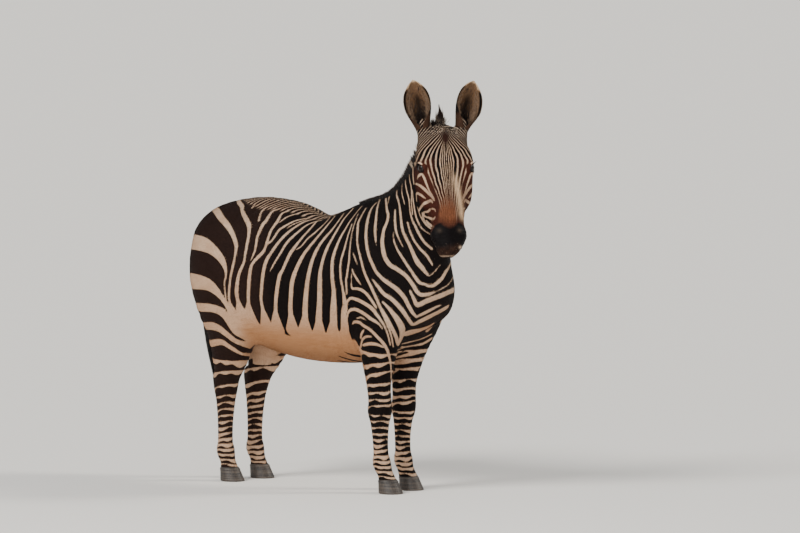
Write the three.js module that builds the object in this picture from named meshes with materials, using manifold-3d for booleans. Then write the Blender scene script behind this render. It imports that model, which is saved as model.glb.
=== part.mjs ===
// Mountain zebra, a still life-size model: standing square with the neck raised and the head turned
// to its right. Millimetres, +X towards the chest, +Y to the animal's left, +Z up, floor at z = 0.
import * as THREE from "three";
import { mergeVertices } from "three/addons/utils/BufferGeometryUtils.js";
import { triTable } from "three/addons/objects/MarchingCubes.js";
import Module from "manifold-3d";

const wasm = await Module();
wasm.setup();

// ---------------------------------------------------------------- driving dimensions
const GAP = 0.3; // between touching nodes
const CENTRE = new THREE.Vector2(101, -2); // middle of the standing animal, seen from above

// Rows of a limb: centre x, y, z, half-width to the side, half-depth in front and behind.
const TRUNK = [
  [-560, 0, 1070, 84, 66, 150],
  [-502, 0, 1050, 150, 138, 240],
  [-430, 0, 1018, 200, 208, 315],
  [-320, 0, 975, 226, 279, 338],
  [-200, 0, 925, 240, 316, 348],
  [-70, 0, 890, 248, 306, 342],
  [60, 0, 880, 244, 304, 340],
  [190, 0, 890, 224, 324, 344],
  [300, 0, 905, 194, 342, 338],
  [415, 0, 920, 168, 310, 285],
  [505, 0, 915, 146, 235, 225],
  [565, 0, 905, 112, 145, 160],
];
const NECK = [
  [330, 0, 1000, 160, 240, 235],
  [440, 0, 1120, 136, 205, 176],
  [528, -8, 1237, 110, 158, 132],
  [596, -20, 1350, 95, 126, 108],
  [640, -32, 1455, 86, 104, 92],
  [664, -36, 1530, 76, 80, 64],
];
const FRONT_LEG = [
  [310, 105, 1120, 55, 85, 95],
  [385, 128, 1000, 74, 110, 120],
  [450, 134, 870, 82, 115, 125],
  [425, 130, 750, 80, 110, 122],
  [398, 120, 655, 74, 92, 106],
  [386, 108, 560, 61, 70, 82],
  [380, 99, 470, 50, 54, 62],
  [380, 95, 400, 50, 54, 54],
  [380, 94, 355, 52, 54, 58],
  [380, 92, 305, 40, 42, 48],
  [382, 90, 235, 34, 32, 42],
  [384, 89, 170, 33, 32, 40],
  [388, 88, 130, 40, 38, 47],
  [402, 87, 88, 34, 34, 38],
  [416, 87, 50, 40, 40, 44],
];
const HIND_LEG = [
  [-395, 105, 1050, 112, 165, 185],
  [-400, 128, 900, 116, 185, 198],
  [-376, 138, 750, 102, 150, 172],
  [-386, 134, 645, 88, 118, 122],
  [-410, 124, 550, 70, 92, 82],
  [-436, 110, 470, 53, 68, 58],
  [-448, 100, 410, 50, 58, 54],
  [-450, 96, 352, 41, 46, 46],
  [-452, 93, 260, 34, 34, 40],
  [-454, 91, 172, 33, 33, 39],
  [-452, 90, 132, 40, 38, 47],
  [-442, 90, 88, 34, 34, 38],
  [-434, 90, 50, 40, 40, 44],
];
const TAIL = [
  [-520, 0, 1118, 34, 34, 34],
  [-580, 0, 1120, 31, 31, 31],
  [-634, 0, 1086, 28, 28, 28],
  [-662, 2, 1010, 24, 24, 24],
  [-669, 7, 900, 19, 19, 19],
  [-663, 17, 790, 15, 15, 15],
  [-652, 32, 700, 10, 10, 10],
];
const TUFT = [
  [-663, 17, 790, 16, 16, 16],
  [-652, 32, 700, 17, 17, 17],
  [-644, 46, 600, 17, 17, 17],
  [-635, 60, 500, 12, 12, 12],
  [-630, 68, 430, 5, 5, 5],
];
const TAIL_ROOM = 5; // between the hanging tail and the buttocks

// The head in its own frame: x from the poll to the lips, y to its left, z out of the forehead.
const HEAD = {
  poll: new THREE.Vector3(664, -24, 1570),
  turn: THREE.MathUtils.degToRad(-46), // from +X towards the animal's right
  hang: THREE.MathUtils.degToRad(28), // between the face and the vertical
};
const SKULL = [
  [-16, 0, -30, 60, 40, 46],
  [40, 0, -24, 96, 62, 86],
  [110, 0, -20, 112, 74, 110],
  [180, 0, -18, 106, 74, 110],
  [255, 0, -12, 98, 68, 84],
  [330, 0, -4, 82, 58, 60],
  [400, 0, 0, 70, 52, 46],
  [455, 0, -2, 70, 49, 40],
  [500, 0, -6, 70, 44, 36],
  [532, 0, -12, 60, 34, 28],
  [552, 0, -18, 44, 22, 20],
];
const JAW = [
  [125, 0, -70, 88, 60, 80],
  [190, 0, -86, 98, 60, 78],
  [260, 0, -88, 98, 54, 76],
  [320, 0, -80, 88, 48, 64],
  [380, 0, -68, 66, 38, 48],
  [440, 0, -58, 52, 30, 36],
  [490, 0, -56, 49, 28, 32],
  [522, 0, -56, 44, 24, 30],
  [542, 0, -56, 30, 16, 22],
];
const EYE = { along: 172, side: 100, out: 26, radius: 23, lid: 26, segments: 14 };
const NOSTRIL = { along: 496, side: 44, out: 8 };
const EAR = { along: 6, side: 76, length: 228, wall: 5, stump: 28, lean: { left: 0.31, right: 0.155 } };
// Rows of an ear from root to tip: height, half-width, half-angle of the cup, place of its spine.
const EAR_ROWS = [
  [0, 27, 3.0, -26],
  [0.08, 31, 2.75, -27],
  [0.17, 38, 2.35, -29],
  [0.28, 47, 1.95, -31],
  [0.4, 55, 1.62, -33],
  [0.52, 58, 1.42, -33],
  [0.64, 56, 1.28, -30],
  [0.76, 48, 1.16, -25],
  [0.87, 33, 1.06, -18],
  [0.95, 17, 1.0, -12],
];
const MOUTH = { tip: 556, height: -45, line: 3, depth: 9 };
const MANE = { width: 22, sunk: 16, stations: 46, short: 14, long: 102, front: 96, core: 0.46 };
const MANE_LOCKS = { neck: 38, head: 14, width: 36, thick: 8, seed: 7 };
const TAIL_LOCKS = { count: 13, width: 28, thick: 9, high: 850, low: 690, tip: 425, seed: 23 };
const HOOF = { top: 56, coronet: 41, toe: 30, sole: 52, segments: 16 };

// ---------------------------------------------------------------- small helpers
const clamp01 = (t) => Math.min(1, Math.max(0, t));
const mix = (a, b, t) => a + (b - a) * t;
const vec = (x, y, z) => new THREE.Vector3(x, y, z);

// A repeatable stream of numbers from 0 to 1.
function seeded(seed) {
  let state = seed >>> 0;
  return () => {
    state = (Math.imul(state, 1664525) + 1013904223) >>> 0;
    return state / 4294967296;
  };
}

// Smallest of two distances, rounded over a width k where they are alike.
function smoothMin(a, b, k) {
  const h = Math.max(k - Math.abs(a - b), 0) / k;
  return Math.min(a, b) - (h * h * k) / 4;
}
const smoothMax = (a, b, k) => -smoothMin(-a, -b, k);

// Row number t, a fraction allowed, of a table, on a Catmull-Rom spline.
function rowAt(rows, t) {
  const last = rows.length - 1;
  const i = Math.min(Math.floor(t), last - 1);
  const u = t - i;
  const [p0, p1, p2, p3] = [-1, 0, 1, 2].map((d) => rows[Math.min(last, Math.max(0, i + d))]);
  return p1.map(
    (_, c) =>
      0.5 *
      (2 * p1[c] +
        (p2[c] - p0[c]) * u +
        (2 * p0[c] - 5 * p1[c] + 4 * p2[c] - p3[c]) * u * u +
        (3 * p1[c] - p0[c] - 3 * p2[c] + p3[c]) * u * u * u),
  );
}

// ---------------------------------------------------------------- the body as a distance field
// A limb: ellipses of the rows' sizes, strung along a spline. front(t) is the row's forward direction.
function limb(rows, front, steps = 3) {
  const count = (rows.length - 1) * steps;
  const stations = [];
  for (let i = 0; i <= count; i++) stations.push(rowAt(rows, i / steps));
  const segments = [];
  for (let i = 0; i < count; i++) {
    const [a, b] = [stations[i], stations[i + 1]];
    const start = vec(...a);
    const along = vec(...b).sub(start);
    const length = along.length();
    along.divideScalar(length);
    const fore = front((i + 0.5) / count).clone();
    fore.addScaledVector(along, -fore.dot(along)).normalize();
    segments.push({ start, along, length, fore, side: vec().crossVectors(fore, along), a, b });
  }
  const radius = (s) => Math.max(s[3], s[4], s[5]);
  const box = new THREE.Box3().setFromPoints(stations.map((s) => vec(...s)));
  box.expandByScalar(Math.max(...stations.map(radius)));
  return (x, y, z) => {
    const away = Math.hypot(
      Math.max(box.min.x - x, 0, x - box.max.x),
      Math.max(box.min.y - y, 0, y - box.max.y),
      Math.max(box.min.z - z, 0, z - box.max.z),
    );
    if (away > 150) return away;
    let best = Infinity;
    for (const { start, along, length, fore, side, a, b } of segments) {
      const [px, py, pz] = [x - start.x, y - start.y, z - start.z];
      const h = px * along.x + py * along.y + pz * along.z;
      const t = clamp01(h / length);
      const beyond = h - length * t;
      const off = px * px + py * py + pz * pz - h * h + beyond * beyond;
      const widest = Math.max(a[3], b[3], a[4], b[4], a[5], b[5]);
      if (best < Infinity && Math.sqrt(Math.max(off, 0)) - widest > Math.max(best, 0) * 1.5) continue;
      const s = px * side.x + py * side.y + pz * side.z;
      const f = px * fore.x + py * fore.y + pz * fore.z;
      const rs = mix(a[3], b[3], t);
      const rf = f > 0 ? mix(a[4], b[4], t) : mix(a[5], b[5], t);
      best = Math.min(best, ellipsoidDistance(s, f, beyond, rs, rf, Math.min(rs, rf)));
    }
    return best;
  };
}

// Distance to an ellipsoid at the origin, nearly true close to its surface.
function ellipsoidDistance(x, y, z, rx, ry, rz) {
  const [ux, uy, uz] = [x / rx, y / ry, z / rz];
  const k = Math.sqrt(ux * ux + uy * uy + uz * uz);
  const [gx, gy, gz] = [ux / rx, uy / ry, uz / rz];
  const slope = Math.sqrt(gx * gx + gy * gy + gz * gz);
  return slope < 1e-9 ? -Math.min(rx, ry, rz) : (k * (k - 1)) / slope;
}

// An ellipsoid with its longest axes turned by an angle in the xz plane.
function blob(cx, cy, cz, rx, ry, rz, lean = 0) {
  const [c, s] = [Math.cos(lean), Math.sin(lean)];
  return (x, y, z) => {
    const [dx, dz] = [x - cx, z - cz];
    return ellipsoidDistance(dx * c + dz * s, y - cy, dz * c - dx * s, rx, ry, rz);
  };
}

const toRight = (rows) => rows.map(([x, y, ...rest]) => [x, -y, ...rest]);
const FORWARD = vec(1, 0, 0);
const THROAT = vec(0.857, 0, -0.515);
const headTurned = vec(Math.cos(HEAD.turn), Math.sin(HEAD.turn), 0);

// The four legs; each pair stands almost square. x shifts grow towards the hoof.
function shifted(rows, hoofShift) {
  const top = rows[0][2];
  return rows.map((r) => [r[0] + hoofShift * clamp01((top - r[2]) / top), ...r.slice(1)]);
}
const LEGS = {
  front_left: shifted(FRONT_LEG, -14),
  front_right: toRight(shifted(FRONT_LEG, 2)),
  hind_left: shifted(HIND_LEG, 30),
  hind_right: toRight(HIND_LEG),
};

const trunk = limb(TRUNK, () => vec(0, 0, 1));
const neck = limb(NECK, (t) => THROAT.clone().lerp(headTurned, clamp01(t * 1.6 - 0.7)));
const legs = Object.fromEntries(
  Object.entries(LEGS).map(([name, rows]) => [name, limb(rows, () => FORWARD)]),
);
const tailRoot = limb(TAIL.slice(0, 4), () => FORWARD);
const pectorals = [1, -1].map((s) => blob(550, s * 70, 868, 76, 62, 104, 0.3));
const hips = [1, -1].map((s) => blob(-262, s * 156, 1118, 66, 38, 46, 0.3));
const shoulders = [1, -1].map((s) => blob(410, s * 140, 930, 88, 44, 190, 0.32));
const elbows = [1, -1].map((s) => blob(340, s * 124, 705, 44, 40, 56, -0.3));
const stifles = [1, -1].map((s) => blob(-308, s * 158, 735, 52, 40, 80, -0.25));
const hockPoints = [LEGS.hind_left, LEGS.hind_right].map((rows) =>
  blob(rows[6][0] - 46, rows[6][1], rows[6][2] + 30, 20, 18, 46, 0.12),
);
const dewlap = blob(672, -30, 1196, 30, 10, 84, -0.3);
const cleft = blob(-676, 3, 962, 54, 34, 150);

const headFrame = new THREE.Matrix4().makeBasis(
  vec(0, 0, -Math.cos(HEAD.hang)).addScaledVector(headTurned, Math.sin(HEAD.hang)),
  vec(-headTurned.y, headTurned.x, 0),
  vec(0, 0, Math.sin(HEAD.hang)).addScaledVector(headTurned, Math.cos(HEAD.hang)),
);
headFrame.setPosition(HEAD.poll);
const toHead = headFrame.clone().invert();

const faceUp = () => vec(0, 0, 1);
const skull = limb(SKULL, faceUp);
const jaw = limb(JAW, faceUp);
const both = (make) => [1, -1].map(make);
const FACE_BULGES = [
  ...both((s) => [blob(164, s * 88, 12, 60, 29, 34), 44]), // orbits
  ...both((s) => [blob(120, s * 56, 8, 90, 44, 38), 50]), // forehead
  ...both((s) => [blob(245, s * 90, -26, 78, 20, 22, -0.12), 34]), // cheekbones
  ...both((s) => [blob(225, s * 84, -88, 88, 34, 76), 30]), // masseters
  ...both((s) => [blob(492, s * 46, 4, 36, 25, 30), 20]), // nostril wings
  [blob(538, 0, -28, 24, 46, 18), 16], // upper lip
  [blob(516, 0, -76, 30, 34, 18), 14], // chin
];
const earRoots = both((s) =>
  limb(
    [
      [EAR.along + 40, s * (EAR.side - 14), -26, 36, 36, 36],
      [EAR.along, s * EAR.side, -8, 34, 34, 34],
      [EAR.along - 50, s * (EAR.side + 12), 2, 29, 29, 29],
    ],
    faceUp,
  ),
);

function headField(x, y, z) {
  const e = toHead.elements;
  const hx = e[0] * x + e[4] * y + e[8] * z + e[12];
  const hy = e[1] * x + e[5] * y + e[9] * z + e[13];
  const hz = e[2] * x + e[6] * y + e[10] * z + e[14];
  if (hx < -200 || hx > 700 || Math.abs(hy) > 260 || hz < -360 || hz > 220) return 200;
  const cheek = clamp01((470 - hx) / 90); // jaw and skull blend widely at the cheek, tightly at the lips
  let d = smoothMin(skull(hx, hy, hz), jaw(hx, hy, hz), mix(26, 52, cheek));
  for (const [bulge, k] of FACE_BULGES) d = smoothMin(d, bulge(hx, hy, hz), k);
  for (const root of earRoots) d = smoothMin(d, root(hx, hy, hz), 24);
  return d;
}

function bodyField(x, y, z) {
  let d = smoothMin(trunk(x, y, z), neck(x, y, z), 90);
  for (const leg of Object.values(legs)) d = smoothMin(d, leg(x, y, z), z > 640 ? 70 : 40);
  for (const b of pectorals) d = smoothMin(d, b(x, y, z), 70);
  for (const b of hips) d = smoothMin(d, b(x, y, z), 60);
  for (const b of shoulders) d = smoothMin(d, b(x, y, z), 50);
  for (const b of elbows) d = smoothMin(d, b(x, y, z), 40);
  for (const b of stifles) d = smoothMin(d, b(x, y, z), 50);
  for (const b of hockPoints) d = smoothMin(d, b(x, y, z), 20);
  d = smoothMin(d, tailRoot(x, y, z), 34);
  d = smoothMax(d, -cleft(x, y, z), 30);
  if (z > 1000) {
    d = smoothMin(d, dewlap(x, y, z), 26);
    d = smoothMin(d, headField(x, y, z), 46);
  }
  return d;
}

// ---------------------------------------------------------------- meshing
// Marching cubes over a box: positions and triangles of the field's zero surface, closed at the box.
function polygonise(field, box, cell) {
  const size = box.getSize(vec()).divideScalar(cell).ceil().addScalar(2);
  const [nx, ny, nz] = size.toArray();
  const at = (i, j, k) => i + nx * (j + ny * k);
  const values = new Float32Array(nx * ny * nz);
  const place = (i, j, k) => [
    box.min.x + (i - 0.5) * cell,
    box.min.y + (j - 0.5) * cell,
    box.min.z + (k - 0.5) * cell,
  ];
  // whole blocks far from the surface take the value at their middle
  const block = 4;
  for (let k0 = 0; k0 < nz; k0 += block)
    for (let j0 = 0; j0 < ny; j0 += block)
      for (let i0 = 0; i0 < nx; i0 += block) {
        const middle = field(...place(i0 + 1.5, j0 + 1.5, k0 + 1.5));
        const far = Math.abs(middle) > block * cell * 2.2;
        for (let k = k0; k < Math.min(nz, k0 + block); k++)
          for (let j = j0; j < Math.min(ny, j0 + block); j++)
            for (let i = i0; i < Math.min(nx, i0 + block); i++) {
              const edge = Math.min(i, j, k, nx - 1 - i, ny - 1 - j, nz - 1 - k) === 0;
              const v = edge ? cell : far ? middle : field(...place(i, j, k));
              values[at(i, j, k)] = edge ? Math.max(v, 1e-3) : Math.abs(v) < 1e-3 ? 1e-3 : v;
            }
      }
  const corners = [
    [0, 0, 0],
    [1, 0, 0],
    [1, 1, 0],
    [0, 1, 0],
    [0, 0, 1],
    [1, 0, 1],
    [1, 1, 1],
    [0, 1, 1],
  ];
  const edges = [
    [0, 1],
    [1, 2],
    [2, 3],
    [3, 0],
    [4, 5],
    [5, 6],
    [6, 7],
    [7, 4],
    [0, 4],
    [1, 5],
    [2, 6],
    [3, 7],
  ];
  const positions = [];
  const triangles = [];
  const made = new Map();
  function vertexOn(i, j, k, e) {
    const [a, b] = edges[e].map((c) => corners[c].map((d, n) => d + [i, j, k][n]));
    const [ia, ib] = [at(...a), at(...b)];
    const key = Math.min(ia, ib) * 8 + (Math.abs(ia - ib) === 1 ? 0 : Math.abs(ia - ib) === nx ? 1 : 2);
    if (!made.has(key)) {
      const t = values[ia] / (values[ia] - values[ib]);
      const [pa, pb] = [place(...a), place(...b)];
      made.set(key, positions.length);
      positions.push(pa.map((v, n) => mix(v, pb[n], t)));
    }
    return made.get(key);
  }
  for (let k = 0; k < nz - 1; k++)
    for (let j = 0; j < ny - 1; j++)
      for (let i = 0; i < nx - 1; i++) {
        let index = 0;
        corners.forEach(([a, b, c], n) => {
          if (values[at(i + a, j + b, k + c)] < 0) index |= 1 << n;
        });
        if (index === 0 || index === 255) continue;
        for (let n = index * 16; triTable[n] !== -1; n += 3)
          triangles.push([0, 1, 2].map((m) => vertexOn(i, j, k, triTable[n + m])));
      }
  return { positions, triangles };
}

// Collapses edges, cheapest first by quadric error, until the mesh has the wanted triangles.
function decimate({ positions, triangles }, wanted) {
  const p = positions.map((v) => [...v]);
  const faces = triangles.map((t) => [...t]);
  const around = p.map(() => new Set());
  faces.forEach((f, i) => f.forEach((v) => around[v].add(i)));
  const normalOf = ([a, b, c]) => {
    const [ux, uy, uz] = [0, 1, 2].map((n) => p[b][n] - p[a][n]);
    const [vx, vy, vz] = [0, 1, 2].map((n) => p[c][n] - p[a][n]);
    return [uy * vz - uz * vy, uz * vx - ux * vz, ux * vy - uy * vx];
  };
  const quadrics = p.map(() => new Float64Array(10));
  for (const f of faces) {
    const n = normalOf(f);
    const area = Math.hypot(...n) || 1e-12;
    const [a, b, c] = n.map((v) => v / area);
    const d = -(a * p[f[0]][0] + b * p[f[0]][1] + c * p[f[0]][2]);
    const q = [a * a, a * b, a * c, a * d, b * b, b * c, b * d, c * c, c * d, d * d];
    for (const v of f) q.forEach((x, n2) => (quadrics[v][n2] += x * area));
  }
  const errorAt = (q, x, y, z) =>
    q[0] * x * x +
    2 * q[1] * x * y +
    2 * q[2] * x * z +
    2 * q[3] * x +
    q[4] * y * y +
    2 * q[5] * y * z +
    2 * q[6] * y +
    q[7] * z * z +
    2 * q[8] * z +
    q[9];
  function bestPlace(q, a, b) {
    const middle = [0, 1, 2].map((n) => (p[a][n] + p[b][n]) / 2);
    const span = Math.hypot(...[0, 1, 2].map((n) => p[a][n] - p[b][n]));
    const m = new THREE.Matrix3().set(q[0], q[1], q[2], q[1], q[4], q[5], q[2], q[5], q[7]);
    const tried = [middle, p[a], p[b]];
    if (Math.abs(m.determinant()) > 1e-6 * (q[0] + q[4] + q[7]) ** 3) {
      const x = vec(-q[3], -q[6], -q[8]).applyMatrix3(m.invert()).toArray();
      if (Math.hypot(...x.map((v, n) => v - middle[n])) < span) tried.push(x);
    }
    let best = null;
    for (const x of tried) {
      const error = errorAt(q, ...x);
      if (!best || error < best.error) best = { error, x };
    }
    best.error = Math.max(best.error, 0) + span * span * 1e-4; // among equals, short edges go first
    return best;
  }
  const version = new Int32Array(p.length);
  const heap = [];
  function push(item) {
    let i = heap.length;
    heap.push(item);
    while (i > 0) {
      const up = (i - 1) >> 1;
      if (heap[up].error <= item.error) break;
      heap[i] = heap[up];
      i = up;
    }
    heap[i] = item;
  }
  function pop() {
    const top = heap[0];
    const item = heap.pop();
    const n = heap.length;
    if (!n) return top;
    let i = 0;
    for (;;) {
      let down = 2 * i + 1;
      if (down >= n) break;
      if (down + 1 < n && heap[down + 1].error < heap[down].error) down++;
      if (heap[down].error >= item.error) break;
      heap[i] = heap[down];
      i = down;
    }
    heap[i] = item;
    return top;
  }
  function offer(a, b) {
    const q = quadrics[a].map((v, n) => v + quadrics[b][n]);
    const { error, x } = bestPlace(q, a, b);
    push({ error, x, a, b, at: version[a] + version[b] });
  }
  const neighbours = (v) => {
    const found = new Set();
    for (const f of around[v]) for (const w of faces[f]) if (w !== v) found.add(w);
    return found;
  };
  p.forEach((_, v) => neighbours(v).forEach((w) => v < w && offer(v, w)));
  let left = faces.length;
  while (left > wanted && heap.length) {
    const { a, b, x, at } = pop();
    if (version[a] < 0 || version[b] < 0 || at !== version[a] + version[b]) continue;
    const [na, nb] = [neighbours(a), neighbours(b)];
    if (!na.has(b)) continue;
    const shared = [...na].filter((v) => nb.has(v));
    const gone = [...around[a]].filter((f) => around[b].has(f));
    if (shared.length !== 2 || gone.length !== 2) continue;
    const flips = [a, b].some((v) =>
      [...around[v]].some((f) => {
        if (gone.includes(f)) return false;
        const before = normalOf(faces[f]);
        const kept = p[v];
        p[v] = x;
        const after = normalOf(faces[f]);
        p[v] = kept;
        const dot = before[0] * after[0] + before[1] * after[1] + before[2] * after[2];
        return dot < 0.25 * Math.hypot(...before) * Math.hypot(...after);
      }),
    );
    if (flips) continue;
    for (const f of gone) {
      for (const v of faces[f]) around[v].delete(f);
      faces[f] = null;
      left--;
    }
    for (const f of around[b]) {
      faces[f] = faces[f].map((v) => (v === b ? a : v));
      around[a].add(f);
    }
    p[a] = x;
    quadrics[b].forEach((v, n) => (quadrics[a][n] += v));
    version[b] = -1;
    version[a] += p.length;
    neighbours(a).forEach((w) => offer(a, w));
  }
  const renamed = new Map();
  const kept = [];
  const name = (v) => {
    if (!renamed.has(v)) {
      renamed.set(v, kept.length);
      kept.push(p[v]);
    }
    return renamed.get(v);
  };
  const out = faces.filter(Boolean).map((f) => f.map(name));
  return { positions: kept, triangles: out };
}

// ---------------------------------------------------------------- solids
function solidFrom({ positions, triangles }) {
  const mesh = new wasm.Mesh({
    numProp: 3,
    vertProperties: new Float32Array(positions.flat()),
    triVerts: new Uint32Array(triangles.flat()),
  });
  const solid = new wasm.Manifold(mesh);
  if (solid.volume() > 0) return solid;
  return solidFrom({ positions, triangles: triangles.map(([a, b, c]) => [a, c, b]) });
}

function solidOf(geometry, matrix = new THREE.Matrix4()) {
  const g = new THREE.BufferGeometry().setAttribute("position", geometry.getAttribute("position").clone());
  if (geometry.index) g.setIndex(geometry.index);
  const merged = mergeVertices(g.applyMatrix4(matrix), 1e-3);
  const [v, t] = [merged.attributes.position.array, merged.index.array];
  const positions = [];
  const triangles = [];
  for (let i = 0; i < v.length; i += 3) positions.push([v[i], v[i + 1], v[i + 2]]);
  for (let i = 0; i < t.length; i += 3) triangles.push([t[i], t[i + 1], t[i + 2]]);
  return solidFrom({ positions, triangles });
}

function geometryOf(solid) {
  const m = solid.getMesh();
  const v = new Float32Array(m.numVert * 3);
  for (let i = 0; i < m.numVert; i++)
    v.set(m.vertProperties.subarray(i * m.numProp, i * m.numProp + 3), i * 3);
  const g = new THREE.BufferGeometry().setAttribute("position", new THREE.BufferAttribute(v, 3));
  g.setIndex(new THREE.BufferAttribute(m.triVerts, 1));
  g.computeVertexNormals();
  return g;
}

const largest = (solid) => solid.decompose().reduce((a, b) => (a.volume() > b.volume() ? a : b));

// A large block that fills the half-space behind a plane: the side the normal points away from.
function halfSpace(point, normal) {
  const size = 3000;
  const turn = new THREE.Quaternion().setFromUnitVectors(vec(0, 0, 1), normal.clone().normalize());
  const middle = point.clone().addScaledVector(normal.clone().normalize(), -size / 2);
  const placed = new THREE.Matrix4().compose(middle, turn, vec(1, 1, 1));
  return solidOf(new THREE.BoxGeometry(size, size, size), placed);
}

// Keeps the side of the plane that the normal points to, half a gap clear of it.
function keepBeyond(solid, { point, normal }) {
  const n = normal.clone().normalize();
  return solid.subtract(halfSpace(point.clone().addScaledVector(n, GAP / 2), n));
}
const flip = ({ point, normal }) => ({ point, normal: normal.clone().negate() });

// ---------------------------------------------------------------- where the nodes part
const NECK_BASE = { point: vec(420, 0, 1090), normal: vec(0.62, 0, 0.785) };
const headPlane = (x, z, nx, nz) => ({
  point: vec(x, 0, z).applyMatrix4(headFrame),
  normal: vec(nx, 0, nz).transformDirection(headFrame),
});
const NAPE = headPlane(60, -100, 0.6, 0.8); // behind the ears and the angle of the jaw
const GULLET = headPlane(280, -152, -0.1, 1); // under the jaw

// All that belongs to the head, grown by a margin: between the two planes, and the forelock over them.
function headRegion(grow) {
  const grown = ({ point, normal }) => ({
    point: point.clone().addScaledVector(normal, -grow - GAP / 2),
    normal,
  });
  const around = solidOf(new THREE.BoxGeometry(1400, 900, 1100), new THREE.Matrix4().setPosition(HEAD.poll));
  const above = solidOf(
    new THREE.BoxGeometry(240 + 2 * grow, 150 + 2 * grow, 260 + 2 * grow),
    headFrame.clone().multiply(new THREE.Matrix4().setPosition(-140, 0, 84)),
  );
  return keepBeyond(keepBeyond(around, grown(NAPE)), grown(GULLET)).add(above);
}

const TAIL_CUT = { point: vec(-606, 0, 1110), normal: vec(-0.8, 0, -0.6) };
const CORONET = { point: vec(0, 0, HOOF.top), normal: vec(0, 0, 1) };

// Where an ear (s: 1 left, -1 right) meets its root, and how it is turned there.
function earPlace(s) {
  const lean = s > 0 ? EAR.lean.left : EAR.lean.right;
  const point = vec(EAR.along - EAR.stump, s * (EAR.side + 8), 0).applyMatrix4(headFrame);
  const up = vec(-1, s * lean, 0.14).transformDirection(headFrame);
  const face = vec(0.1, s * 0.3, 1).transformDirection(headFrame);
  face.addScaledVector(up, -face.dot(up)).normalize();
  const across = vec().crossVectors(up, face);
  const turned = new THREE.Matrix4().makeBasis(face, across, up);
  turned.setPosition(point.clone().addScaledVector(up, -3));
  return { cut: { point, normal: up }, turned };
}

// A block that holds one leg up to a slanted cut across its top, grown by a margin.
function legBlock(front, left, grow) {
  const side = left ? 1 : -1;
  const middle = vec(front ? 455 : -470, side * (150 + GAP / 2), 470);
  const box = new THREE.BoxGeometry((front ? 330 : 440) + 2 * grow, 300 + 2 * grow, 900);
  const block = solidOf(box, new THREE.Matrix4().setPosition(middle));
  const top = { point: vec(middle.x, side * 150, front ? 690 : 700), normal: vec(0, side * 0.56, -0.83) };
  top.point.z += grow / 0.83;
  return block.subtract(halfSpace(top.point, top.normal));
}

// The room of an ear beyond its cut plane: as wide as its root at the foot, and then as its cup.
function earSeat(s) {
  const { cut } = earPlace(s);
  const turn = new THREE.Quaternion().setFromUnitVectors(vec(0, 1, 0), cut.normal);
  const cylinder = (foot, top, from, to) =>
    solidOf(
      new THREE.CylinderGeometry(top, foot, to - from, 16),
      new THREE.Matrix4().compose(
        cut.point.clone().addScaledVector(cut.normal, (from + to) / 2 - GAP / 2),
        turn,
        vec(1, 1, 1),
      ),
    );
  return cylinder(44, 44, 0, 30).add(cylinder(44, 66, 29, 90)).add(cylinder(66, 66, 89, EAR.length));
}

function fleshIn(min, max, cell, triangles) {
  const box = new THREE.Box3(vec(...min), vec(...max));
  return solidFrom(decimate(polygonise(bodyField, box, cell), triangles));
}

function makeTorso() {
  let s = fleshIn([-700, -300, 500], [690, 300, 1340], 15, 2500);
  s = keepBeyond(s, flip(NECK_BASE));
  for (const left of [true, false])
    for (const front of [true, false]) s = s.subtract(legBlock(front, left, GAP));
  const cut = {
    point: TAIL_CUT.point.clone().addScaledVector(TAIL_CUT.normal, -GAP),
    normal: TAIL_CUT.normal,
  };
  return largest(s.subtract(keepBeyond(tailSolid(TAIL_ROOM), cut)));
}

function makeNeck() {
  const s = fleshIn([120, -240, 880], [800, 200, 1660], 12, 1200);
  let maned = withLocks(s.add(maneFin()), maneLocks(0.03, 0.86, MANE_LOCKS.neck, MANE_LOCKS.seed + 1));
  for (const side of [1, -1]) maned = maned.subtract(earSeat(side));
  return largest(keepBeyond(maned, NECK_BASE).subtract(headRegion(GAP)));
}

function makeLeg(front, left) {
  const name = (front ? "front_" : "hind_") + (left ? "left" : "right");
  const [x0, x1] = front ? [290, 640] : [-690, -250];
  const [y0, y1] = left ? [-20, 320] : [-320, 20];
  let s = fleshIn([x0, y0, 20], [x1, y1, 900], 9.5, front ? 1050 : 1150);
  s = s.intersect(legBlock(front, left, 0));
  s = keepBeyond(s, CORONET);
  return { name, solid: largest(s) };
}

// An eyeball, the lids round it, and the almond opening between them.
function eyeParts(s) {
  const centre = vec(EYE.along, s * EYE.side, EYE.out);
  const ball = (radius, dy = 0) =>
    solidOf(
      new THREE.SphereGeometry(radius, EYE.segments, 9),
      headFrame.clone().multiply(new THREE.Matrix4().setPosition(centre.x, centre.y + s * dy, centre.z)),
    );
  const opening = solidOf(
    new THREE.SphereGeometry(1, EYE.segments, 9),
    headFrame
      .clone()
      .multiply(new THREE.Matrix4().setPosition(centre.x + 1, centre.y + s * 19, centre.z + 7))
      .multiply(new THREE.Matrix4().makeRotationX(s * 0.35))
      .multiply(new THREE.Matrix4().makeRotationZ(-s * 0.1))
      .multiply(new THREE.Matrix4().makeScale(20, 16, 11.5)),
  );
  return { eye: ball(EYE.radius), socket: ball(EYE.radius + GAP), lids: ball(EYE.lid), opening };
}

function nostril(s) {
  const m = headFrame
    .clone()
    .multiply(new THREE.Matrix4().setPosition(NOSTRIL.along + 14, s * NOSTRIL.side, NOSTRIL.out))
    .multiply(new THREE.Matrix4().makeRotationY(0.5))
    .multiply(new THREE.Matrix4().makeRotationZ(s * 0.55))
    .multiply(new THREE.Matrix4().makeScale(26, 9, 15));
  return solidOf(new THREE.SphereGeometry(1, 12, 10), m);
}

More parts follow.
